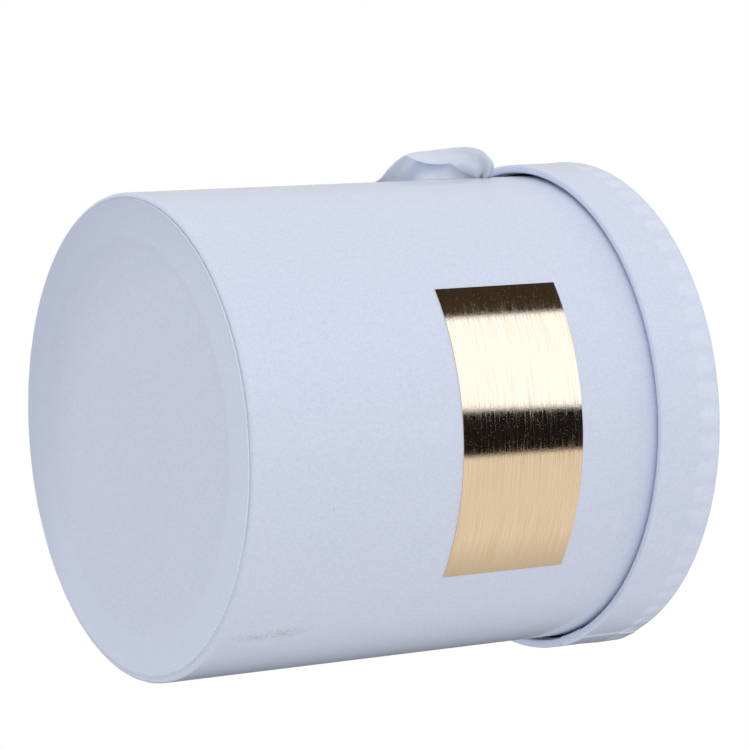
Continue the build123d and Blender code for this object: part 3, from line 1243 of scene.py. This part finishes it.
@dataclass
class LidPapers(Papers):
    """The papers of the lid: its top disc, the wrap round its wall, and its linings."""

    rim_bend: float = 0.9 * MM
    rim_flap: float = 12 * MM
    wrap_columns: int = 720
    wrap_spacing: float = 2.2 * MM
    shoulder_half: float = 2 * MM
    shoulder_spacing: float = 0.4 * MM
    outer_edge: float = 0.2 * MM
    tab_rise: float = 0.26 * MM
    tab_low: float = 6.9 * MM
    tab_curve: float = 1.6 * MM
    tab_slope: Span = (-1.3 * MM, 1.5 * MM)
    tab_least: float = 0.62
    tab_fall: float = 0.3
    tab_fall_start: float = 2.5 * MM
    crown_power: float = 0.8
    top_bend: float = 0.95 * MM
    top_turn: float = 3.0 * MM
    top_columns: int = 480
    top_spacing: float = 2.5 * MM
    joint: float = 0.05 * MM
    joint_half: float = 0.7 * MM
    joint_points: tuple[float, ...] = (1.2 * MM, 0.0, -1.2 * MM)
    sag: float = 0.08 * MM
    ripple_length: float = 11 * MM
    lap: Lap = Lap(math.radians(-23.6), 12 * MM, 0.3 * MM)
    lining_lap: Lap = Lap(math.radians(120), 10 * MM, 0.15 * MM)

    def wrap(self, finish: bpy.types.Material) -> bpy.types.Object:
        """Paper round the lid's wall: in at the rim, round it, up and over the tabs.

        Args:
            finish: The paper's material.

        Returns:
            The piece.
        """
        low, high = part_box("lid_wrap")
        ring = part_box("lid_ring")[1].x
        radius, bore = ring + self.pasted(), ring - self.board - self.pasted()
        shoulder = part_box("lid_top_paper")[1].z - self.tab_low

        def relief(angle: np.ndarray, out: np.ndarray, up: np.ndarray) -> np.ndarray:
            """The lap, and a soft pad over each tab, lowest where two tabs part.

            Args:
                angle, out, up: Angle, radius and height of each point.

            Returns:
                How far each point is raised.
            """
            outside = ease(out, radius - self.outer_edge, radius)
            crown = (0.5 + 0.5 * np.cos(angle * LID_TABS)) ** self.crown_power
            start = shoulder + self.tab_curve * (1 - crown)
            pad = ease(up - start, *self.tab_slope) * (self.tab_least + (1 - self.tab_least) * crown)
            fall = 1 - self.tab_fall * ease(up, shoulder + self.tab_fall_start, high.z)
            return self.lap.raised(angle, radius) + outside * self.tab_rise * pad * fall

        section = self._wrap_section((radius, bore), (low.z, shoulder, high.z))
        angles = spread_angles(self.wrap_columns, self.lap.lines(radius))
        sheet = TurnedSheet("lid_side_paper", section, self.paper, angles, relief)
        return self._dress(sheet.build(finish), "lid_wrap", "white_paper")

    def _wrap_section(self, radii: Span, heights: Place) -> np.ndarray:
        """The wrap cut through, with finer steps about the shoulder where the tabs start.

        Args:
            radii: The wrap's outer radius, and that of the part which is turned in.
            heights: The heights of the rim, the shoulder and the wrap's top.

        Returns:
            An array of radius and height.
        """
        radius, bore = radii
        rim, shoulder, top = heights
        below, above = shoulder - self.shoulder_half, shoulder + self.shoulder_half
        corners = [(bore, rim + self.rim_flap), (bore, rim), (radius, rim), (radius, below),
                   (radius, above), (radius, top)]
        whole = section_line(corners, [self.rim_bend, self.rim_bend, 0, 0], self.wrap_spacing)
        fine = section_line([(radius, below), (radius, above)], [], self.shoulder_spacing)
        from_below = (whole[:, 0] > radius - SAME_RADIUS) & (whole[:, 1] > below - SAME_RADIUS)
        from_above = from_below & (whole[:, 1] > above + SAME_RADIUS)
        return np.concatenate((whole[~from_below], fine, whole[from_above]))

    def top(self, finish: bpy.types.Material) -> bpy.types.Object:
        """Disc over the lid, rounded at its edge and turned down under the wrap.

        Args:
            finish: The paper's material.

        Returns:
            The piece.
        """
        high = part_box("lid_top_paper")[1]
        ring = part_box("lid_ring")[1].x - self.board
        corners = [(high.x, high.z - self.top_turn), (high.x, high.z),
                   *((ring + place, high.z) for place in self.joint_points), (0, high.z)]
        section = section_line(corners, [self.top_bend, 0, 0, 0], self.top_spacing)

        def relief(angle: np.ndarray, out: np.ndarray, up: np.ndarray) -> np.ndarray:
            """A faint line where the top board meets the wall's board, and a slight sag inside it.

            Args:
                angle, out, up: Angle, radius and height of each point.

            Returns:
                How far each point is raised.
            """
            joint = self.joint * np.exp(-((out - ring) / self.joint_half) ** 2)
            sag = self.sag * (1 - (out / ring) ** 2) * (out < ring)
            return -joint - sag

        sheet = TurnedSheet("lid_top_disc", section, self.paper, spread_angles(self.top_columns), relief)
        return self._dress(sheet.build(finish), "lid_top_paper", "white_paper")

    def wall_lining(self, finish: bpy.types.Material) -> bpy.types.Object:
        """Lining of the lid's wall: on the board above, over the turned-in paper near the rim.

        Args:
            finish: The lining's material.

        Returns:
            The piece.
        """
        low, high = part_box("lid_ring_lining")
        bore = high.x - self.lining
        over = bore - self.pasted()
        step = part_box("lid_wrap")[0].z + self.rim_flap + self.step_length
        corners = [(bore, high.z), (bore, step + self.step_length), (over, step), (over, low.z)]
        section = section_line(corners, [self.step_bend, self.step_bend])
        angles = spread_angles(self.lining_columns, self.lining_lap.lines(bore))
        relief = self.lining_lap.relief(bore)
        sheet = TurnedSheet("lid_wall_lining", section, self.lining, angles, relief)
        return self._dress(sheet.build(finish), "lid_ring_lining", "lining_paper")

    def top_lining(self, finish: bpy.types.Material) -> bpy.types.Object:
        """Disc of lining paper under the lid's top.

        Args:
            finish: The lining's material.

        Returns:
            The piece.
        """
        low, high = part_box("lid_top_lining")
        section = section_line([(0, low.z), (high.x, low.z)], [], self.level_spacing)

        def relief(angle: np.ndarray, out: np.ndarray, up: np.ndarray) -> np.ndarray:
            """Slight ripples: the square of cos(2 a + r / length), a the angle and r the radius."""
            return -self.ripple * np.cos(2 * angle + out / self.ripple_length) ** 2

        angles = spread_angles(self.level_columns)
        sheet = TurnedSheet("lid_roof_lining", section, self.lining, angles, relief)
        return self._dress(sheet.build(finish), "lid_top_lining", "lining_paper")

    @staticmethod
    def _dress(piece: bpy.types.Object, node: str, slot: str) -> bpy.types.Object:
        """Puts a piece on the part that it rides on, and hides the CAD node that it replaces.

        Args:
            piece: The piece.
            node: The CAD node that it replaces.
            slot: Not used.

        Returns:
            The piece.
        """
        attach(piece, "lid")
        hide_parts(node)
        return piece


@dataclass
class FoilLabel:
    """The gold label, a thin rectangle bent round the front of the body."""

    thickness: float = 0.2 * MM
    wave: float = 0.012 * MM
    second_wave: float = 0.7
    wave_along: float = 9.5 * MM
    wave_up: float = 6.1 * MM
    bend: float = 2.1
    bend_along: float = 21 * MM
    bend_up: float = 13 * MM
    columns: int = 161
    rows: int = 49

    def build(self, finish: bpy.types.Material) -> bpy.types.Object:
        """Makes the label.

        A point u along and v up the flat label lies at angle -90 degrees + u / radius and height v.
        It waves by w (sin(u / a + b sin(v / c)) + s sin(v / d + u / e)), about a hundredth of a
        millimetre for each sine, so that it isn't a perfect mirror.

        Args:
            finish: The foil's material.

        Returns:
            The piece.
        """
        low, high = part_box("foil_label")
        radius = -low.y
        half = math.asin(high.x / radius)
        along = np.linspace(-half, half, self.columns)[None, :] * radius
        up = np.linspace(low.z, high.z, self.rows)[:, None]
        wave = self.wave * (np.sin(along / self.wave_along + self.bend * np.sin(up / self.bend_up))
                            + self.second_wave * np.sin(up / self.wave_up + along / self.bend_along))
        out = radius + wave - self.wave * (1 + self.second_wave)
        skin = Skin.of(round_axis(out, along / radius - math.pi / 2, up), joined(along, up))
        piece = make_piece("gold_label", skin, self.thickness - self.wave, finish)
        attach(piece, "box_body")
        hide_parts("foil_label")
        return piece


@dataclass
class RibbonHandle:
    """Satin ribbon: a loop behind the box, gathered through a hole each side and knotted inside.

    The loop lies in a plane that slopes back and down from the holes. A place on it is given by
    down, the way along that slope from the holes, across, the way along the ribbon's width
    (its near edge is negative), and off, how far it stands off the wall's radius.
    """

    width: float = 25 * MM
    thickness: float = 0.22 * MM
    loop_length: float = 341 * MM
    slope: float = math.radians(45)
    hole_height: float = HOLE_HEIGHT
    bottom: float = 112 * MM
    swell: float = 0.035
    back_points: int = 26
    back_ends: float = 0.2
    pleats: float = 3.5
    steps: int = 16
    columns: int = 61
    knot_off: float = -9.0 * MM
    knot_scale: float = 1.25 * MM
    knot_depth: float = 1.1
    knot_rows: int = 121
    rope: float = 2.1 * MM
    rope_pleat: float = 0.1
    rope_pleats: int = 5
    rope_twist: int = 2
    rope_columns: int = 41
    rope_weave: Span = (9 * MM, 4 * MM)
    tail_length: float = 22 * MM
    tail_halves: Span = (2.0 * MM, 5.4 * MM)
    tail_notch: float = 0.16
    tail_crease: float = 0.7 * MM
    tail_creases: float = 1.5
    tail_sway: float = 0.9 * MM
    tail_grid: tuple[int, int] = (41, 31)

    # Places of the near edge, the crest and the far edge of each leg, from inside the hole to where
    # the ribbon lies on the wall, each as down, across and off in millimetres, and the depth of the
    # pleats at each of them
    left_near: tuple[Place, ...] = (
        (1.6, -0.6, -6), (1.8, -2.0, -0.5), (2.7, -3.8, 0.7), (4.7, -6.4, 2.3), (6.9, -8.3, 4.1),
        (8.3, -8.3, 4.9), (12.2, -10.1, 4.9), (15.6, -10.3, 5.35), (19.6, -10.7, 6.5),
        (22.6, -11.3, 7.8), (27.0, -12.2, 4.7), (31.4, -12.5, 0.2), (38.0, -12.5, -1.8),
        (48.0, -12.5, -2.9))
    left_crest: tuple[Place, ...] = (
        (0.0, 0.0, -6), (-1.4, -0.4, -0.5), (-3.4, -0.4, 2.0), (-3.6, -0.4, 5.2), (-1.4, -0.6, 8.0),
        (2.1, -1.2, 9.2), (5.6, -1.5, 9.5), (10.5, -2.0, 9.2), (15.8, -2.5, 8.5), (21.0, -3.0, 7.3),
        (26.5, -3.4, 3.0), (32.0, -1.8, -0.6), (39.0, 0.0, -1.8), (48.0, 0.0, -2.8))
    left_far: tuple[Place, ...] = (
        (-1.6, 0.6, -6), (-0.4, 1.6, -0.5), (0.9, 1.3, 0.15), (2.6, -0.7, 0.05), (4.4, -2.7, 0.04),
        (6.4, -4.9, 0.04), (9.2, -7.7, 0.04), (12.6, -10.9, 0.03), (16.2, -12.4, 0.0),
        (20.2, -9.6, -0.32), (25.0, -3.0, -1.45), (31.0, 2.2, -2.2), (38.5, 6.8, -2.85),
        (48.0, 12.5, -3.6))
    left_pleats: tuple[float, ...] = (
        1.2, 1.0, 0.8, 0.75, 0.62, 0.46, 0.32, 0.2, 0.1, 0.04, 0.02, 0.0, 0.0, 0.0)
    right_near: tuple[Place, ...] = (
        (1.6, -0.6, -6), (2.1, -0.8, -0.5), (4.0, -2.0, 0.55), (8.5, -4.2, 0.75), (14.5, -6.2, 1.0),
        (21.0, -8.5, 1.7), (28.0, -11.0, 2.2), (36.0, -12.4, 2.4))
    right_crest: tuple[Place, ...] = (
        (0.0, 0.0, -6), (0.3, 0.0, -0.5), (2.2, 0.0, 0.9), (6.8, 0.0, 1.4), (13.0, 0.0, 2.0),
        (20.0, 0.0, 2.7), (28.0, 0.0, 3.3), (36.0, 0.0, 3.1))
    right_far: tuple[Place, ...] = (
        (-1.6, 0.6, -6), (-1.5, 0.8, -0.5), (0.6, 2.0, 0.6), (5.2, 4.4, 1.0), (12.0, 6.4, 1.7),
        (19.5, 8.6, 2.6), (27.5, 11.0, 3.2), (36.0, 12.4, 2.8))
    right_pleats: tuple[float, ...] = (1.4, 1.1, 0.3, 0.25, 0.2, 0.12, 0.05, 0.0)

    def band(self, finish: bpy.types.Material) -> bpy.types.Object:
        """The ribbon from one hole, round behind the box, to the other.

        The guide lines give a smooth surface. At share s of the width it is moved along its normal
        by d sin(2 pi n s), with n pleats that are d deep there.

        Args:
            finish: The satin.

        Returns:
            The piece.
        """
        left = [self._leg(line, Side.LEFT) for line in (self.left_near, self.left_crest, self.left_far)]
        right = [self._leg(line, Side.RIGHT) for line in (self.right_near, self.right_crest, self.right_far)]
        backs = [self._back(across, start[-1], end[-1])
                 for across, start, end in zip((-self.width / 2, 0.0, self.width / 2), left, right)]
        guides = np.stack([np.concatenate((start, back, end[::-1]))
                           for start, back, end in zip(left, backs, right)])
        smooth = self._through(guides, self.steps)
        share = np.linspace(0, 1, self.columns)
        surface = self._across(smooth, share)
        fold = np.sin(FULL_TURN * self.pleats * share)[None, :]
        depth = self._depths(smooth.shape[1])[:, None]
        surface = surface + self._normals(surface) * (depth * fold)[..., None]
        length = np.concatenate(([0], np.cumsum(np.linalg.norm(np.diff(smooth[1], axis=0), axis=1))))
        LOG.info("ribbon's loop along its crest: %.1f mm", length[-1] / MM)
        skin = Skin.of(surface, joined(length[:, None], share[None, :] * self.width))
        piece = make_piece("ribbon_band", skin, self.thickness, finish, middle=True)
        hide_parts("ribbon_handle")
        return self._dress(piece)

    @staticmethod
    def _dress(piece: bpy.types.Object) -> bpy.types.Object:
        """Puts a piece of the ribbon on the part that it rides on.

        Args:
            piece: The piece.

        Returns:
            The piece.
        """
        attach(piece, "ribbon")
        return piece

    def _place(self, down: np.ndarray, across: np.ndarray | float, x: np.ndarray) -> np.ndarray:
        """Points in the box for places on the loop's sloping plane.

        Args:
            down, across: Where on the plane.
            x: How far to the right.

        Returns:
            The points.
        """
        back = down * math.cos(self.slope) + across * math.sin(self.slope)
        up = self.hole_height - down * math.sin(self.slope) + across * math.cos(self.slope)
        return joined(x, back, up)

    def _leg(self, line: Sequence[Place], side: Side) -> np.ndarray:
        """One guide line of a leg as points in the box."""
        down, across, off = np.array(line).T * MM
        return self._place(down, across, side.value * (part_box("body_wrap")[1].x + off))

    def _back(self, across: float, start: np.ndarray, end: np.ndarray) -> np.ndarray:
        """The loop's free stretch, a part of an ellipse that swells a little at its corners.

        With t from 0 at the left side to pi at the right one, x = -R (1 + s sin^2 2t) cos t and
        down = w + D sin t. R goes smoothly from the left leg's reach to that of the right one, s is
        the swell, w half the ribbon's width and D the loop's bottom.

        Args:
            across: Where the line lies in the ribbon's width.
            start: The left leg's last point.
            end: The right leg's last point.

        Returns:
            The points between them.
        """
        shift = self.width / 2

        def down_of(point: np.ndarray) -> float:
            """How far down the sloping plane a point is."""
            return (point[1] - across * math.sin(self.slope)) / math.cos(self.slope)

        first, last = (math.asin((down_of(point) - shift) / self.bottom) for point in (start, end))
        turn = np.linspace(first, math.pi - last, self.back_points)[1:-1]
        reach_left, reach_right = abs(start[0]) / math.cos(first), abs(end[0]) / math.cos(last)
        share = ease(turn, self.back_ends, math.pi - self.back_ends)
        reach = reach_left + (reach_right - reach_left) * share
        swell = 1 + self.swell * np.sin(2 * turn) ** 2
        return self._place(shift + self.bottom * np.sin(turn), across, -reach * swell * np.cos(turn))

    @staticmethod
    def _through(guides: np.ndarray, steps: int) -> np.ndarray:
        """A smooth line through each guide's points, by Catmull-Rom's cubic between each two.

        Args:
            guides: Points, one row for each guide line.
            steps: How many steps there are between two points.

        Returns:
            The smooth lines, one row each.
        """
        before, after = 2 * guides[:, :1] - guides[:, 1:2], 2 * guides[:, -1:] - guides[:, -2:-1]
        padded = np.concatenate((before, guides, after), axis=1)
        a, b, c, d = (padded[:, k:k + guides.shape[1] - 1, None] for k in range(4))
        t = (np.arange(steps) / steps)[None, None, :, None]
        line = 0.5 * (2 * b + (c - a) * t + (2 * a - 5 * b + 4 * c - d) * t ** 2
                      + (3 * b - a - 3 * c + d) * t ** 3)
        return np.concatenate((line.reshape(len(guides), -1, 3), guides[:, -1:]), axis=1)

    @staticmethod
    def _across(guides: np.ndarray, share: np.ndarray) -> np.ndarray:
        """Points across the ribbon: the parabola through near edge, crest and far edge.

        Args:
            guides: The three smooth lines.
            share: Places across the width, from 0 at the near edge to 1 at the far one.

        Returns:
            The grid of points, with the crest halfway across.
        """
        near, crest, far = (guide[:, None] for guide in guides)
        v = share[None, :, None]
        return near * (2 * v - 1) * (v - 1) + crest * 4 * v * (1 - v) + far * v * (2 * v - 1)

    def _depths(self, rows: int) -> np.ndarray:
        """How deep the pleats are at each row, deepest in the holes and none behind the box.

        Args:
            rows: How many rows the ribbon's grid has.

        Returns:
            The depth of each row.
        """
        station = np.arange(rows) / self.steps
        left, right = np.array(self.left_pleats) * MM, np.array(self.right_pleats) * MM
        return (np.interp(station, np.arange(len(left)), left)
                + np.interp(station[-1] - station, np.arange(len(right)), right))

    @staticmethod
    def _normals(surface: np.ndarray) -> np.ndarray:
        """Unit normals of a grid, from the cross product of its two directions."""
        normal = np.cross(np.gradient(surface, axis=1), np.gradient(surface, axis=0))
        return normal / np.maximum(np.linalg.norm(normal, axis=-1, keepdims=True), 1e-12)

    def knot(self, side: Side, finish: bpy.types.Material) -> bpy.types.Object:
        """An overhand knot: a pleated tube along a trefoil.

        The trefoil is (-d sin 3t, sin t + 2 sin 2t, cos t - 2 cos 2t), scaled, with its flat side
        to the wall. The tube's radius swells by the cosine of n a + m t at angle a round it.

        Args:
            side: The ribbon's end.
            finish: The satin.

        Returns:
            The piece.
        """
        turn = np.linspace(0, FULL_TURN, self.knot_rows)
        path = joined(-self.knot_depth * np.sin(3 * turn), np.sin(turn) + 2 * np.sin(2 * turn),
                      np.cos(turn) - 2 * np.cos(2 * turn)) * self.knot_scale
        ahead = np.gradient(path, axis=0)
        ahead[0] = ahead[-1] = path[1] - path[-2]
        ahead /= np.linalg.norm(ahead, axis=1, keepdims=True)
        first = np.cross(ahead, (1.0, 0.0, 0.0))
        first /= np.linalg.norm(first, axis=1, keepdims=True)
        second = np.cross(ahead, first)
        turn, about = turn[:, None], np.linspace(0, FULL_TURN, self.rope_columns)[None, :]
        swell = self.rope * (1 + self.rope_pleat * np.cos(self.rope_pleats * about + self.rope_twist * turn))
        points = (path[:, None] + (swell * np.cos(about))[..., None] * first[:, None]
                  + (swell * np.sin(about))[..., None] * second[:, None])
        points = points + np.array((self._end_x(side), 0, self.hole_height))
        skin = Skin.of(points, joined(turn * self.rope_weave[0], about * self.rope_weave[1]))
        return self._dress(self._closed(f"ribbon_knot_{side.name.lower()}", skin, finish))

    def tail(self, side: Side, finish: bpy.types.Material) -> bpy.types.Object:
        """The ribbon's end below the knot, creased and cut to a swallowtail.

        A point a of the way along and c across, from -1 to 1, lies at c times the half width there
        and hangs a times the length, less by the notch times 1 - |c|. It sways by sin(pi a), and
        the creases are a cosine of c that fades to half along the end.

        Args:
            side: The ribbon's end.
            finish: The satin.

        Returns:
            The piece.
        """
        rows, columns = self.tail_grid
        along, across = np.linspace(0, 1, rows)[:, None], np.linspace(-1, 1, columns)[None, :]
        start, end = self.tail_halves
        wide = across * (start + (end - start) * ease(along, 0, 0.5))
        down = along * (1 - self.tail_notch * (1 - np.abs(across))) * self.tail_length
        crease = self.tail_crease * np.cos(self.tail_creases * math.pi * across) * (1 - 0.5 * along)
        sway = -self.tail_sway * np.sin(math.pi * along) + crease
        points = joined(self._end_x(side) + side.value * sway, wide, self.hole_height - down)
        name = f"ribbon_tail_{side.name.lower()}"
        skin = Skin.of(points, joined(down, wide))
        return self._dress(make_piece(name, skin, self.thickness, finish, middle=True))

    def _end_x(self, side: Side) -> float:
        """Where a knot lies along X, inside the wall."""
        return side.value * (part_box("body_wrap")[1].x + self.knot_off)

    @staticmethod
    def _closed(name: str, skin: Skin, finish: bpy.types.Material) -> bpy.types.Object:
        """Makes a piece of a skin that is closed by itself, its faces turned outwards.

        Args:
            name: The piece's name.
            skin: The closed surface.
            finish: Its material.

        Returns:
            The piece.
        """
        mesh = skin.mesh(name)
        turned = bmesh.new()
        turned.from_mesh(mesh)
        bmesh.ops.recalc_face_normals(turned, faces=turned.faces)
        turned.to_mesh(mesh)
        turned.free()
        mesh.shade_smooth()
        mesh.materials.append(finish)
        return add_object(name, mesh)

    def declare(self, band: bpy.types.Object, others: Sequence[bpy.types.Object]) -> None:
        """Does nothing with the band and the other pieces."""


@dataclass(frozen=True)
class Card:
    """A tall curved card round the box that only reflections see, between two bearings.

    A bearing is an angle in degrees from the camera's side, positive towards the picture's top.
    The card's edges lean, in degrees for each metre up from where the label's mirrored view meets
    it. The card's light is its level at its start, and grows evenly by the fade to its end.
    """

    name: str
    start: float
    end: float
    level: float
    tint: Colour = WHITE
    start_lean: float = 0.0
    end_lean: float = 0.0
    fade: float = 0.0


@dataclass(frozen=True)
class Lamp:
    """A broad square lamp that faces the box, left out of reflections."""

    name: str
    place: Place
    size: float
    power: float


@dataclass
class Studio:
    """Camera, lamps, reflection cards, background and floor."""

    camera_place: Place = (-0.09480479, -0.94982152, -0.48411898)
    camera_bearing: float = 4.867915
    camera_rise: float = 30.927116
    camera_roll: float = 85.745215
    lens: float = 168.02
    sensor: float = 36.0
    ambient: float = 0.73
    sky_lean: Place = (-0.12, 0.0, 0.04)
    floor_radius: float = 0.8
    floor_drop: float = 0.3 * MM
    floor_fade: Span = (0.75, 0.22)
    floor_light: Colour = (0.97, 0.97, 0.975, 1.0)
    floor_dark: Colour = (0.94, 0.94, 0.95, 1.0)
    floor_patches_per_metre: float = 400.0
    floor_mottle: float = 0.3
    floor_grid: tuple[int, int] = (20, 97)
    card_distance: float = 1.3
    card_heights: Span = (-1.2, 2.4)
    card_grid: tuple[int, int] = (37, 24)
    mirrored_height: float = 0.87
    lean_reach: float = 0.3
    near_bearing: float = -95.7
    cards: tuple[Card, ...] = (
        Card("card_window", 0.0, 44.4, 1.95, (0.64, 0.76, 1.0, 1.0), start_lean=-20.0),
        Card("card_dim", 44.4, 78.0, 0.042, (1.0, 0.82, 0.62, 1.0)),
        Card("card_dark", -21.3, 0.0, 0.008, (1.0, 1.15, 1.4, 1.0), -11.0, -20.0),
        Card("card_plain", -62.0, -21.3, 0.82, (1.0, 1.0, 1.03, 1.0), end_lean=-11.0),
        Card("card_low", -90.0, -62.0, 0.5, (1.0, 1.0, 1.03, 1.0), fade=0.32),
        Card("card_behind", -183.0, -105.0, 0.0),
        Card("card_above", 110.0, 177.0, 0.62),
    )
    aim: Place = (0.0, 0.0, 0.08)
    lamps: tuple[Lamp, ...] = (
        Lamp("lamp_side", (-1.34, -0.48, -0.25), 1.1, 3.65),
        Lamp("lamp_low", (0.5, -1.2, -0.5), 1.0, 2.4),
        Lamp("lamp_top", (-0.25, -0.2, 1.5), 1.0, 1.8),
        Lamp("lamp_back", (0.2, 1.3, 0.9), 1.0, 2.6),
    )

    def build(self) -> None:
        """Sets up everything that isn't the box."""
        scene = bpy.context.scene
        scene.view_settings.view_transform = "Standard"
        self._camera(scene)
        self._background(scene)
        self._floor()
        for card in self.cards:
            self._card(card)
        for lamp in self.lamps:
            self._lamp(lamp)

    def _camera(self, scene: bpy.types.Scene) -> None:
        """The photograph's viewpoint: close below the base, looking up the box's front.

        Args:
            scene: Takes the camera.
        """
        camera = add_object("camera", bpy.data.cameras.new("camera"))
        camera.data.lens = self.lens
        camera.data.sensor_width = self.sensor
        bearing, rise = math.radians(self.camera_bearing), math.radians(self.camera_rise)
        level = math.cos(rise)
        ahead = Vector((math.sin(bearing) * level, math.cos(bearing) * level, math.sin(rise)))
        roll = Quaternion((0, 0, 1), math.radians(self.camera_roll))
        camera.rotation_mode = "QUATERNION"
        camera.rotation_quaternion = ahead.to_track_quat("-Z", "Y") @ roll
        camera.location = self.camera_place
        scene.camera = camera

    def _background(self, scene: bpy.types.Scene) -> None:
        """White where it is seen or mirrored, and a soft light from all round for everything else.

        Args:
            scene: Takes the background.
        """
        scene.world = bpy.data.worlds.new("background")
        tree = Tree(scene.world)
        seen = tree.seen()
        heading = tree.node("ShaderNodeTexCoord")["Generated"]
        lean = tree.vector("DOT_PRODUCT", "Value", heading, self.sky_lean)
        light = seen + (1 - seen) * self.ambient * (1 + lean)
        ground = tree.node("ShaderNodeBackground", None, {"Color": WHITE, "Strength": light})
        tree.node("ShaderNodeOutputWorld", None, {"Surface": ground["Background"]})

    def _floor(self) -> None:
        """A round pale floor that fades into the white, seen only from above."""
        material = bpy.data.materials.new("floor_finish")
        tree = Tree(material)
        front = 1 - tree.node("ShaderNodeNewGeometry")["Backfacing"]
        place = tree.object_place()
        away = tree.vector("LENGTH", "Value", place)
        cover = tree.seen() * front * away.rising(*self.floor_fade)
        mottle = tree.noise(place, self.floor_patches_per_metre, detail=3) * self.floor_mottle
        colour = tree.mix(mottle, self.floor_light, self.floor_dark)
        pale = tree.node("ShaderNodeBsdfDiffuse", None, {"Color": colour})
        clear = tree.node("ShaderNodeBsdfTransparent")
        mixed = tree.node("ShaderNodeMixShader", None, {0: cover, 1: clear["BSDF"], 2: pale["BSDF"]})
        tree.surface(mixed["Shader"])
        rows, columns = self.floor_grid
        radius = np.linspace(self.floor_radius, 0.0, rows)[:, None]
        around = np.linspace(0, FULL_TURN, columns)[None, :]
        self._stage("floor", Skin.of(round_axis(radius, around, -self.floor_drop)), material)

    def _card(self, card: Card) -> None:
        """One reflection card, a strip of a tall cylinder round the box.

        Args:
            card: Where it stands and how light it is.
        """
        rows, columns = self.card_grid
        height = np.linspace(*self.card_heights, rows)[:, None]
        above = np.clip(height - self.mirrored_height, -self.lean_reach, self.lean_reach)
        share = np.linspace(0, 1, columns)[None, :]
        bearings = np.radians(self.near_bearing - (card.start + card.start_lean * above) * (1 - share)
                              - (card.end + card.end_lean * above) * share)
        material = bpy.data.materials.new(card.name + "_finish")
        tree = Tree(material)
        light = card.level + tree.parts(tree.sheet_place())["X"] * card.fade
        glow = tree.node("ShaderNodeEmission", None, {"Color": card.tint, "Strength": light})
        tree.surface(glow["Emission"])
        skin = Skin.of(round_axis(self.card_distance, bearings, height), joined(share, height))
        piece = self._stage(card.name, skin, material)
        piece.visible_camera = piece.visible_diffuse = piece.visible_shadow = False
        piece.visible_transmission = piece.visible_volume_scatter = False

    @staticmethod
    def _stage(name: str, skin: Skin, material: bpy.types.Material) -> bpy.types.Object:
        """Adds a mesh that isn't part of the box.

        Args:
            name: The object's name.
            skin: Its surface.
            material: Its finish.

        Returns:
            The object.
        """
        mesh = skin.mesh(name)
        mesh.materials.append(material)
        piece = add_object(name, mesh)
        return piece

    def _lamp(self, lamp: Lamp) -> None:
        """Hangs one lamp.

        Args:
            lamp: Where it hangs and how strong it is.
        """
        hung = add_object(lamp.name, bpy.data.lights.new(lamp.name, "AREA"))
        hung.data.shape = "SQUARE"
        hung.data.size = lamp.size
        hung.data.energy = lamp.power
        hung.location = lamp.place
        hung.rotation_mode = "QUATERNION"
        hung.rotation_quaternion = (Vector(self.aim) - Vector(lamp.place)).to_track_quat("-Z", "Y")
        hung.visible_glossy = False


def paint_boards(finish: bpy.types.Material) -> None:
    """Gives the board pieces, which keep their own shape, the grey board's finish.

    Args:
        finish: The board's material.
    """
    for name in ("body_tube", "base_board", "lid_ring", "lid_board"):
        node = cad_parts[name]
        if not node.material_slots:
            node.data.materials.append(None)
        for slot in node.material_slots:
            slot.link = "OBJECT"
            slot.material = finish
        LOG.info("board %s painted", name)


def main() -> None:
    """Builds the box's looks, piece by piece."""
    logging.basicConfig(level=logging.INFO, format="%(name)s: %(message)s")
    Studio().build()
    stock, body, lid, ribbon = PaperStock(), BodyPapers(), LidPapers(), RibbonHandle()
    lining, satin = stock.lining(), Satin().build()
    pieces = [build(finish) for build, finish in (
        (body.wrap, stock.outer()), (body.cover, stock.under()), (body.wall_lining, lining),
        (body.floor_lining, lining), (lid.wrap, stock.side()), (lid.top, stock.top()),
        (lid.wall_lining, lining), (lid.top_lining, lining), (FoilLabel().build, BrushedFoil().build()))]
    band = ribbon.band(satin)
    others = [make(end, satin) for end in Side for make in (ribbon.knot, ribbon.tail)]
    ribbon.declare(band, others)
    for piece in (*pieces, band, *others):
        LOG.info("%s: %d faces", piece.name, len(piece.data.polygons))
    paint_boards(GreyBoard().build())


if __name__ == "__main__":
    main()
